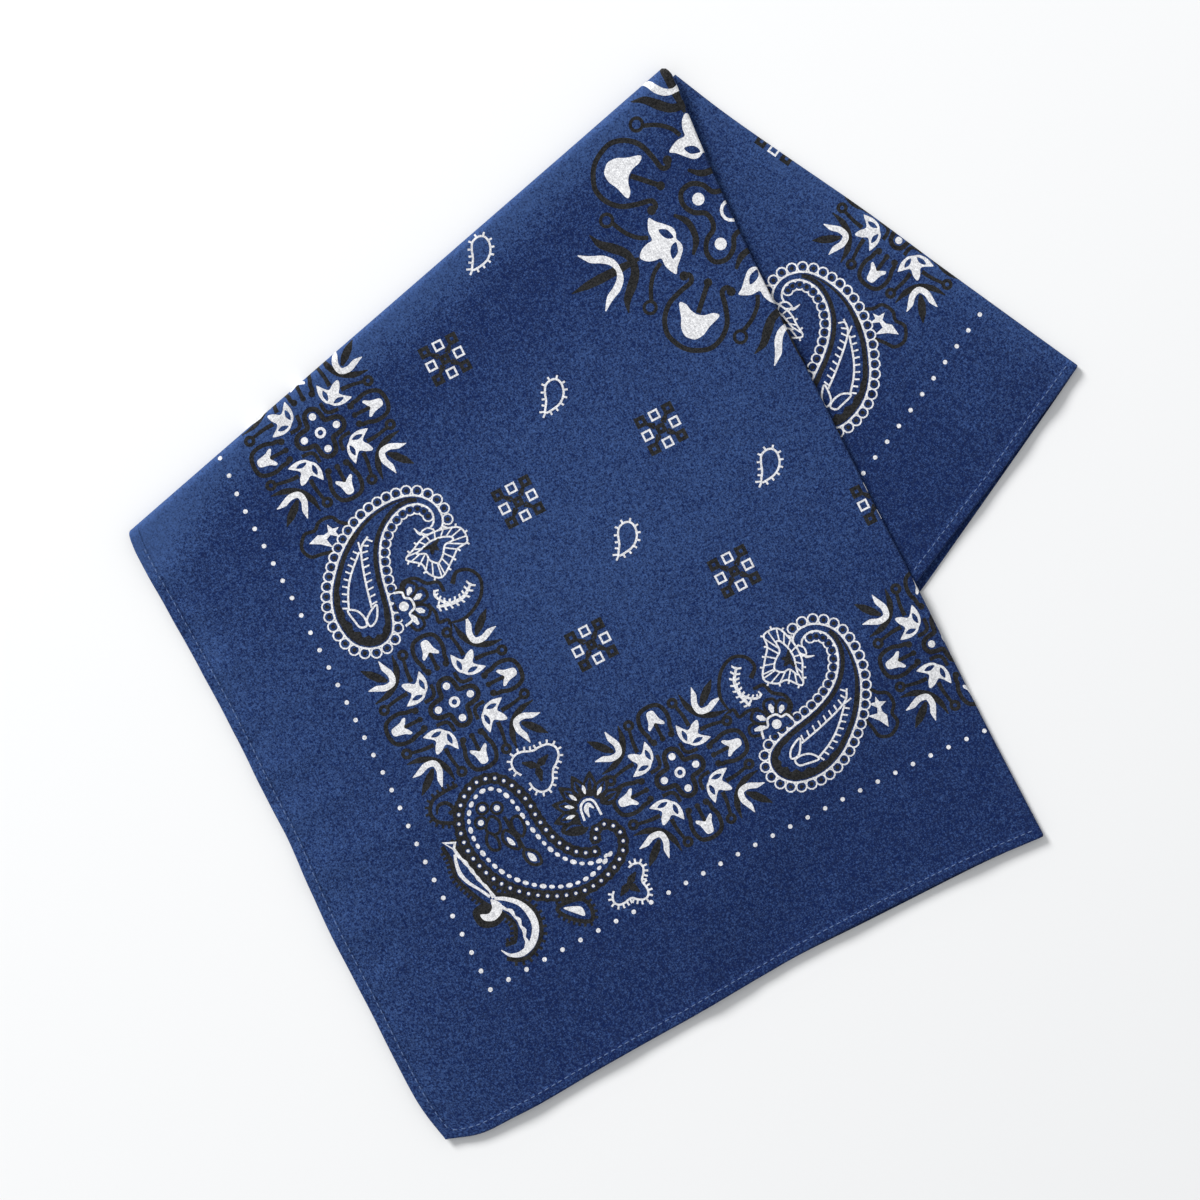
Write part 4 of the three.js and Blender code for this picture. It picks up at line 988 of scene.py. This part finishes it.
def cutLayer(name, layer, domain, lines, surface, thick, faceDown=False, shows=None):
    # one layer's shell, cut along the part of the print that lands on it and that shows
    low, high = domain.min(0), domain.max(0)
    landed = [(ink, points) for ink, points in printOn(layer, low, high) if shows is None or shows(points)]
    cut = cutPrint(domain, lines, gridSpots(low, high, spacing[layer]), landed)
    return shell(name, layer, cut, surface, thick, faceDown)


wrapReach = np.pi * hem["radius"] + hem["flange"] - hem["radius"]


def topFoldStart(places):
    # where the top-left fold begins to roll, at distances along the fold from its left end
    edge = np.array(fold["left"]) + places[:, None] * topAlong
    near = edge - 2 * fold["pitch"] * topOut
    return edge - (frontUnder(*near.T) / 2 + fold["wall"] / 2)[:, None] * topOut


def frontDomain():
    # the front panel with its two half turns, its two wrapped hems and a mitre at their corner
    top = topFoldStart(np.linspace(3.8, foldLength - 2.0, 60))
    topRadius = frontUnder(*top.T) / 2 + fold["wall"] / 2
    topEdge = top + (np.pi * topRadius)[:, None] * topOut
    corner = top[-1]
    v = np.linspace(hem["radius"], corner[1], 70)
    right = np.column_stack([bow("rightFold", v) - outerRight, v])
    rightOut = rightFoldOut(v)
    rightEdge = right + np.pi * outerRight * rightOut
    farCorner = corner + np.pi * topRadius[-1] * topOut + np.pi * outerRight * topAlong
    domain = np.vstack([
        [(0.0, 0.0), (wrapReach, -wrapReach), (rightEdge[0, 0], -wrapReach)],
        rightEdge, [farCorner], topEdge[::-1],
        [(-wrapReach, topEdge[0, 1]), (-wrapReach, wrapReach)],
    ])
    lines = [right, *(right + outerRight * angle * rightOut for angle in np.linspace(0, np.pi, 8)[1:-1])]
    lines += [top + (topRadius * angle)[:, None] * topOut for angle in np.linspace(0, np.pi, 10)[:-1]]
    lines += [top - back * topOut for back in (1.5, 3.5, 6.0)] + [right - [back, 0] for back in (1.2, 3.0)]
    return domain, lines


def hemLines(length, across):
    # lines along a hem, close together on its wrapped edge and its ledge
    inward = [hem["radius"] * (1 - angle) for angle in np.linspace(0, np.pi, 8)]
    inward += [*hem["lines"], -wrapReach + 0.01]
    along = np.arange(0.0, length, 1.6)
    return [across(along, np.full(len(along), far)) for far in inward]


frontArea, frontLines = frontDomain()
frontLines += hemLines(hem["lengths"]["left"], lambda along, far: np.column_stack([far, along]))
frontLines += hemLines(hem["lengths"]["lower"], lambda along, far: np.column_stack([along, far]))
frontCloth = cutLayer("frontCloth", "front", frontArea, frontLines, frontSurface, fold["thick"])


def flapDomain():
    # the flap from under the front panel's fold to the far side of its crease, with its wrapped hem
    away = np.linspace(5.0, np.linalg.norm(tip - apex) - hem["radius"], 70)
    crease = apex + away[:, None] * creaseAlong - outerCrease * creaseOut
    edge = crease + np.pi * outerCrease * creaseOut
    hiddenTop = np.array([bow("rightFold", np.array([336.0]))[0] - 9.0, 336.0])
    hiddenEnd = tip + 120.0 * cornerAcross
    strip = wrapReach * cornerUp
    onHem = tip + (outerCrease - np.pi * outerCrease) * cornerAcross
    domain = np.vstack([[hiddenEnd, hiddenEnd + strip, onHem + strip, onHem], edge[::-1], [hiddenTop]])
    lines = [crease + outerCrease * angle * creaseOut for angle in np.linspace(0, np.pi, 8)[:-1]]
    lines += [crease - back * creaseOut for back in (1.2, 3.0)]
    return domain, lines


flapArea, flapLines = flapDomain()
flapLines += hemLines(hem["lengths"]["flap"], lambda along, far: (
    tip + (along - 3.0)[:, None] * cornerAcross - far[:, None] * cornerUp))
flapCloth = cutLayer("flapCloth", "flap", flapArea, flapLines, flapSurface, fold["thick"])


def rimLines(domain, insets):
    # the outline again, moved in a little at a time, for a rounded edge
    middlePoint = domain.mean(0)
    return [domain + (middlePoint - domain) * inset / np.linalg.norm(middlePoint - domain, axis=1)[:, None]
            for inset in insets]


def secondDomain():
    # the second layer, from its two hems to just short of the folds
    top = topFoldStart(np.linspace(5.5, foldLength - 6.0, 50)) - 0.4 * topOut
    v = np.linspace(0.0, top[-1, 1] - 2, 50)
    right = np.column_stack([bow("rightFold", v) - outerRight - fold["gap"], v])
    left = np.column_stack([np.zeros(50), np.linspace(top[0, 1], 4, 50)])
    lower = np.column_stack([np.linspace(4, right[0, 0] - 2, 50), np.zeros(50)])
    return np.vstack([[(0.0, 0.0)], lower, right, top[::-1], left])


secondArea = secondDomain()
rimInsets = (0.06, 0.16, 0.3, 0.5)
secondLines = [np.column_stack([np.full(90, far), np.linspace(0, 280, 90)]) for far in rimInsets]
secondLines += [np.column_stack([np.linspace(0, 272, 90), np.full(90, far)]) for far in rimInsets]


def showsFromBelow(points):
    # the second layer's print is seen only outside the bottom layer's hems
    return np.minimum(*bottomHems(points)).min() < 4


secondCloth = cutLayer("secondLayer", "second", secondArea, secondLines, secondSurface, fold["wall"], True,
                       showsFromBelow)


def bottomDomain():
    # the bottom layer, from its two hems to just short of the top-left fold and the crease
    top = topFoldStart(np.linspace(15.0, foldLength - 8.0, 50)) - 1.2 * topOut
    away = np.linspace(16.0, np.linalg.norm(tip - apex), 50)
    crease = apex + away[:, None] * creaseAlong - (outerCrease + 1.0) * creaseOut
    corner, left = np.array(fold["hiddenCorner"]), np.array([top[0, 0] - 1.0, top[0, 1]])
    hemOut = -np.array([-unit(corner, tip)[1], unit(corner, tip)[0]])
    share = np.linspace(0, 1, 60)[:, None]
    lower = corner + (crease[-1] - corner) * share
    swell = np.sin(np.pi * np.linspace(0, 1, 60)) ** 0.5
    peek = 0.9 * smoothstep(lower @ unit(corner, tip), 275, 300) * swell
    lower = lower + peek[:, None] * hemOut
    return np.vstack([lower, crease[::-1], top[::-1], corner + (left - corner) * (1 - share)[:-1]])


bottomArea = bottomDomain()
bottomLines = rimLines(bottomArea, (0.12, 0.3, 0.6))
bottomCloth = cutLayer("bottomLayer", "bottom", bottomArea, bottomLines, bottomSurface, fold["wall"], True)


stitching = {
    "pitch": 3.1,
    "long": 2.5,
    "radius": 0.24,
    "rows": {"left": 268.0, "lower": 268.0, "flap": 107.0},
    "uneven": 0.12,
    "swell": (0.45, 0.95, 1.0, 0.95, 0.45),  # share of the radius from end to end
    "stand": (-0.22, 0.02, 0.08, 0.02, -0.22),  # height over the cloth from end to end
}


def stitches(name, surface, length, rowAt):
    # a row of short rounded threads just above the cloth: each is a tube along its piece of the row that
    # thins and dips at both ends
    count = int(length // stitching["pitch"])
    start = (np.arange(count) + 0.3) * stitching["pitch"]
    along = start[:, None] + stitching["long"] * np.linspace(0, 1, 5)[None, :]
    along = along + stitching["uneven"] * np.sin(start * 3.7)[:, None]
    centre = surface(rowAt(along.ravel())).reshape(count, 5, 3)
    ahead = np.gradient(centre, axis=1)
    ahead /= np.linalg.norm(ahead, axis=2, keepdims=True)
    side = np.cross(np.broadcast_to([0, 0, 1.0], ahead.shape), ahead)
    side /= np.linalg.norm(side, axis=2, keepdims=True)
    up = np.cross(ahead, side)
    angle = np.arange(6) * np.pi / 3
    size = stitching["radius"] * np.array(stitching["swell"])[None, :, None, None]
    stand = np.array(stitching["stand"])[None, :, None] * up
    ring = (np.cos(angle)[:, None] * side[:, :, None] + np.sin(angle)[:, None] * up[:, :, None]) * size
    points = (centre + stand)[:, :, None] + ring
    index = np.arange(count * 30).reshape(count, 5, 6)
    nearRing, farRing = index[:, :-1], index[:, 1:]
    walls = np.stack([nearRing, np.roll(nearRing, -1, 2), np.roll(farRing, -1, 2), farRing], -1)
    walls = walls.reshape(-1, 4)
    ends = np.concatenate([index[:, 0, ::-1], index[:, -1]])
    mesh = bpy.data.meshes.new(name)
    mesh.from_pydata(inMetres(points.reshape(-1, 3)), [], walls.tolist() + ends.tolist())
    mesh.shade_smooth()
    print(name, count, "stitches")
    return placed(name, mesh)


def leftRow(along):
    return np.column_stack([np.full(len(along), hem["stitchAt"]), 4.0 + along])


def lowerRow(along):
    return leftRow(along)[:, ::-1]


def flapRow(along):
    return tip + (2.0 + along)[:, None] * cornerAcross - hem["stitchAt"] * cornerUp


rowLengths = stitching["rows"]
leftStitches = stitches("leftHemStitches", frontSurface, rowLengths["left"], leftRow)
lowerStitches = stitches("lowerHemStitches", frontSurface, rowLengths["lower"], lowerRow)
flapStitches = stitches("flapHemStitches", flapSurface, rowLengths["flap"], flapRow)


cottonLooks = {
    # deep, paler and specked; the painted light and shade move the blue between deep and paler
    "blue": ((0.0025, 0.0125, 0.075, 1), (0.046, 0.097, 0.262, 1), (0.017, 0.027, 0.066, 1)),
    "whiteInk": ((0.50, 0.50, 0.52, 1), (0.95, 0.95, 0.96, 1), (0.70, 0.70, 0.72, 1)),
    "blackInk": ((0.007, 0.0075, 0.009, 1), (0.034, 0.034, 0.035, 1), (0.016, 0.015, 0.013, 1)),
    "speckShare": 0.4,
    "threadsPerMm": 2.3,
    "roughness": (0.12, 0.87),  # change with the mottling, and the least
    "specular": 0.08,
    "sheen": 0.03,
    "sheenRoughness": 0.6,
    "bumpStrength": 0.5,
    "bumpDistance": 0.00018,
}

threadLooks = {
    "dark": (0.045, 0.085, 0.22, 1),
    "pale": (0.125, 0.195, 0.37, 1),
    "fibreScale": 2600.0,
    "roughness": 0.7,
    "bumpStrength": 0.4,
    "bumpDistance": 0.00008,
}


def newGroup(name, inputs, outputs):
    group = bpy.data.node_groups.new(name, "ShaderNodeTree")
    for label, kind, value in inputs:
        socket = group.interface.new_socket(label, in_out="INPUT", socket_type=kind)
        if value is not None:
            socket.default_value = value
    for label, kind in outputs:
        group.interface.new_socket(label, in_out="OUTPUT", socket_type=kind)
    nodes = group.nodes
    return group, nodes.new("NodeGroupInput").outputs, nodes.new("NodeGroupOutput").inputs


def feed(tree, pairs):
    # each socket takes a plain value, or a link from another socket
    for place, value in pairs:
        if isinstance(value, (int, float, tuple)):
            place.default_value = value
        else:
            tree.links.new(value, place)


def newMaterial(name):
    material = bpy.data.materials.new(name)
    material.use_nodes = True
    tree = material.node_tree
    return material, tree, tree.nodes["Principled BSDF"]


def addRelief(tree, shader, height, looks):
    relief = tree.nodes.new("ShaderNodeBump")
    relief.inputs["Strength"].default_value = looks["bumpStrength"]
    relief.inputs["Distance"].default_value = looks["bumpDistance"]
    tree.links.new(height, relief.inputs["Height"])
    tree.links.new(relief.outputs[0], shader.inputs["Normal"])


def mathNode(tree, operation, *values):
    # a Math node fed by sockets or plain numbers, returned as its output
    node = tree.nodes.new("ShaderNodeMath")
    node.operation = operation
    feed(tree, zip(node.inputs, values))
    return node.outputs[0]


def mixColour(tree, share, first, second):
    node = tree.nodes.new("ShaderNodeMix")
    node.data_type = "RGBA"
    node.clamp_factor = True
    feed(tree, zip((node.inputs[0], node.inputs[6], node.inputs[7]), (share, first, second)))
    return node.outputs[2]


def noiseAt(tree, vector, scale, detail=2.0, roughness=0.5):
    node = tree.nodes.new("ShaderNodeTexNoise")
    given = {"Scale": scale, "Detail": detail, "Roughness": roughness, "Vector": vector}
    feed(tree, [(node.inputs[label], value) for label, value in given.items()])
    return node.outputs["Fac"]


def stretched(tree, vector, scale):
    node = tree.nodes.new("ShaderNodeMapping")
    node.inputs["Scale"].default_value = scale
    tree.links.new(vector, node.inputs["Vector"])
    return node.outputs[0]


def chanceAt(tree, vector, scale):
    # an even chance value for each cell of a grid
    cells = tree.nodes.new("ShaderNodeVectorMath")
    cells.operation = "FLOOR"
    tree.links.new(stretched(tree, vector, scale), cells.inputs[0])
    chance = tree.nodes.new("ShaderNodeTexWhiteNoise")
    chance.noise_dimensions = "2D"
    tree.links.new(cells.outputs[0], chance.inputs["Vector"])
    return chance.outputs[0]


def weaveGroup():
    # plain weave: warp and weft cross as the product of two sines, the grain is one chance value for each
    # short run of warp and of weft, and slubs are noise drawn out along both threads
    group, given, out = newGroup(
        "plainWeave",
        [("Cloth", "NodeSocketVector", None),
         ("Threads per mm", "NodeSocketFloat", cottonLooks["threadsPerMm"])],
        [(name, "NodeSocketFloat") for name in ("Height", "Grain", "Speck", "Slub", "Mottle")],
    )
    cloth = given["Cloth"]
    perMetre = mathNode(group, "MULTIPLY", given["Threads per mm"], 1000.0 * float(np.pi))
    counted = group.nodes.new("ShaderNodeVectorMath")
    counted.operation = "SCALE"
    group.links.new(cloth, counted.inputs[0])
    group.links.new(perMetre, counted.inputs["Scale"])
    split = group.nodes.new("ShaderNodeSeparateXYZ")
    group.links.new(counted.outputs[0], split.inputs[0])
    warp = mathNode(group, "SINE", split.outputs["X"])
    weft = mathNode(group, "SINE", split.outputs["Y"])
    crossing = mathNode(group, "MULTIPLY", warp, weft)
    warpRuns = chanceAt(group, cloth, (1300, 2600, 1))
    weftRuns = chanceAt(group, cloth, (2600, 1300, 1))
    runs = mathNode(group, "ADD", warpRuns, weftRuns)
    along = noiseAt(group, stretched(group, cloth, (200, 1500, 1)), 1.0, 2.0)
    across = noiseAt(group, stretched(group, cloth, (1500, 200, 1)), 1.0, 2.0)
    slub = mathNode(group, "MULTIPLY", mathNode(group, "ADD", along, across), 0.5)
    uneven = mathNode(group, "ADD", slub, runs)
    group.links.new(mathNode(group, "MULTIPLY_ADD", crossing, 0.35, uneven), out["Height"])
    group.links.new(mathNode(group, "MULTIPLY", runs, 0.5), out["Grain"])
    group.links.new(chanceAt(group, cloth, (1500, 1500, 1)), out["Speck"])
    group.links.new(slub, out["Slub"])
    group.links.new(noiseAt(group, cloth, 60.0, 5.0, 0.65), out["Mottle"])
    return group


def toneGroup():
    # the dye's tone: a share value, which for the blue cloth carries painted light and shade, shifted by the
    # cloth's grain, slubs and mottling, picks between two colours, and the speck value mixes in a third
    names = ("Grain", "Slub", "Mottle")
    group, given, out = newGroup(
        "dyeTone",
        [("Fade", "NodeSocketFloat", 0.5), ("Speck", "NodeSocketFloat", 0.5)]
        + [(name, "NodeSocketFloat", 0.5) for name in names]
        + [(name + " amount", "NodeSocketFloat", amount) for name, amount in zip(names, (1.6, 0.5, 0.35))]
        + [(name, "NodeSocketColor", (1, 1, 1, 1)) for name in ("Deep", "Paler", "Specked")],
        [("Colour", "NodeSocketColor")],
    )
    share = given["Fade"]
    for name in names:
        centred = mathNode(group, "SUBTRACT", given[name], 0.5)
        share = mathNode(group, "MULTIPLY_ADD", centred, given[name + " amount"], share)
    dyed = mixColour(group, share, given["Deep"], given["Paler"])
    speck = mathNode(group, "MULTIPLY", given["Speck"], cottonLooks["speckShare"])
    group.links.new(mixColour(group, speck, dyed, given["Specked"]), out["Colour"])
    return group


weave, toneMix = weaveGroup(), toneGroup()


def clothMaterial(name):
    # blue dyed cotton with white and black print, all three with the same grain, specks, slubs and mottling,
    # and the blue with painted light and shade
    material, tree, shader = newMaterial(name)
    uv = tree.nodes.new("ShaderNodeUVMap")
    uv.uv_map = "cloth"
    threads = tree.nodes.new("ShaderNodeGroup")
    threads.node_tree = weave
    tree.links.new(uv.outputs[0], threads.inputs["Cloth"])
    threads.inputs["Threads per mm"].default_value = cottonLooks["threadsPerMm"]
    dyeAndPaintedLight = tree.nodes.new("ShaderNodeAttribute")
    dyeAndPaintedLight.attribute_name = "dyeAndPaintedLight"
    colour = None
    for label in ("blue", "blackInk", "whiteInk"):
        dye = tree.nodes.new("ShaderNodeGroup")
        dye.node_tree = toneMix
        for key, shade in zip(("Deep", "Paler", "Specked"), cottonLooks[label]):
            dye.inputs[key].default_value = shade
        for key in ("Grain", "Speck", "Slub", "Mottle"):
            tree.links.new(threads.outputs[key], dye.inputs[key])
        if label == "blue":
            # the blue's share takes the painted light and shade
            tree.links.new(dyeAndPaintedLight.outputs["Fac"], dye.inputs["Fade"])
            colour = dye.outputs["Colour"]
            continue
        mask = tree.nodes.new("ShaderNodeAttribute")
        mask.attribute_name = label
        colour = mixColour(tree, mask.outputs["Fac"], colour, dye.outputs["Colour"])
    tree.links.new(colour, shader.inputs["Base Color"])
    rough = mathNode(tree, "MULTIPLY_ADD", threads.outputs["Mottle"], *cottonLooks["roughness"])
    tree.links.new(rough, shader.inputs["Roughness"])
    shader.inputs["Specular IOR Level"].default_value = cottonLooks["specular"]
    shader.inputs["Sheen Weight"].default_value = cottonLooks["sheen"]
    shader.inputs["Sheen Roughness"].default_value = cottonLooks["sheenRoughness"]
    addRelief(tree, shader, threads.outputs["Height"], cottonLooks)
    return material


def threadMaterial():
    # sewing thread: a dark and a pale blue mixed by fine noise
    material, tree, shader = newMaterial("sewingThread")
    place = tree.nodes.new("ShaderNodeTexCoord")
    fibre = noiseAt(tree, place.outputs["Object"], threadLooks["fibreScale"])
    tree.links.new(mixColour(tree, fibre, threadLooks["dark"], threadLooks["pale"]),
                   shader.inputs["Base Color"])
    shader.inputs["Roughness"].default_value = threadLooks["roughness"]
    addRelief(tree, shader, fibre, threadLooks)
    return material


cotton, thread = clothMaterial("printedCotton"), threadMaterial()
clothPieces = {frontCloth: "front_cotton", flapCloth: "flap_cotton", secondCloth: "inner_cotton",
               bottomCloth: "inner_cotton"}
stitchPieces = {leftStitches: "hem_cotton", lowerStitches: "hem_cotton", flapStitches: "hem_cotton"}
for piece, slotName in {**clothPieces, **stitchPieces}.items():
    piece.data.materials.append(cotton if piece in clothPieces else thread)
    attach(piece, "root")
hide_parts("front_panel", "hem_front_lower", "hem_front_left")
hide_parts("flap_panel", "hem_flap")
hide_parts("inner_layers")
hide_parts("inner_layers")
print("materials on")

studio = {
    "cameraOver": (156.3, 167.3),  # plan point at the middle of the picture
    "roll": -27.14,
    "frameWidth": 0.492,
    "lens": 100.0,
    "sensor": 36.0,
    "keyFrom": (-0.307, 0.952, 0.62),  # towards the picture's upper left
    "keyAway": 4.5,
    "keySize": 1.6,
    "keyPower": 225.0,
    "skyColour": (0.96, 0.98, 1.0, 1),
    "skyStrength": 0.55,
    "floorHalf": 3.0,
    "floorDrop": 0.0002,
    "floorColour": (0.86, 0.86, 0.86, 1),
    "floorRoughness": 0.95,
}


def makeStage():
    # a pale floor well wider than the view
    size = studio["floorHalf"]
    mesh = bpy.data.meshes.new("floor")
    mesh.from_pydata([(-size, -size, 0), (size, -size, 0), (size, size, 0), (-size, size, 0)], [],
                     [(0, 1, 2, 3)])
    floor = placed("floor", mesh)
    floor.location.z = -studio["floorDrop"]
    material, _, shader = newMaterial("paleFloor")
    shader.inputs["Base Color"].default_value = studio["floorColour"]
    shader.inputs["Roughness"].default_value = studio["floorRoughness"]
    mesh.materials.append(material)


def makeCamera():
    data = bpy.data.cameras.new("camera")
    data.lens, data.sensor_width = studio["lens"], studio["sensor"]
    data.clip_end = 20.0
    camera = placed("camera", data)
    over = (np.array(studio["cameraOver"]) - middle) * metre
    camera.location = (over[0], over[1], studio["frameWidth"] * studio["lens"] / studio["sensor"])
    camera.rotation_euler = (0, 0, np.radians(studio["roll"]))
    bpy.context.scene.camera = camera


def makeLights():
    # one broad soft light from the picture's upper left and an even pale sky
    lamp = bpy.data.lights.new("key", "AREA")
    lamp.shape, lamp.size, lamp.energy = "DISK", studio["keySize"], studio["keyPower"]
    key = placed("key", lamp)
    away = Vector(studio["keyFrom"]).normalized() * studio["keyAway"]
    key.location = away
    key.rotation_euler = (-away).to_track_quat("-Z", "Y").to_euler()
    world = bpy.data.worlds.new("sky")
    world.use_nodes = True
    sky = world.node_tree.nodes["Background"].inputs
    sky["Color"].default_value, sky["Strength"].default_value = studio["skyColour"], studio["skyStrength"]
    bpy.context.scene.world = world
    bpy.context.scene.view_settings.view_transform = "Standard"


makeStage()
makeCamera()
makeLights()
print("stage, camera and lights ready")
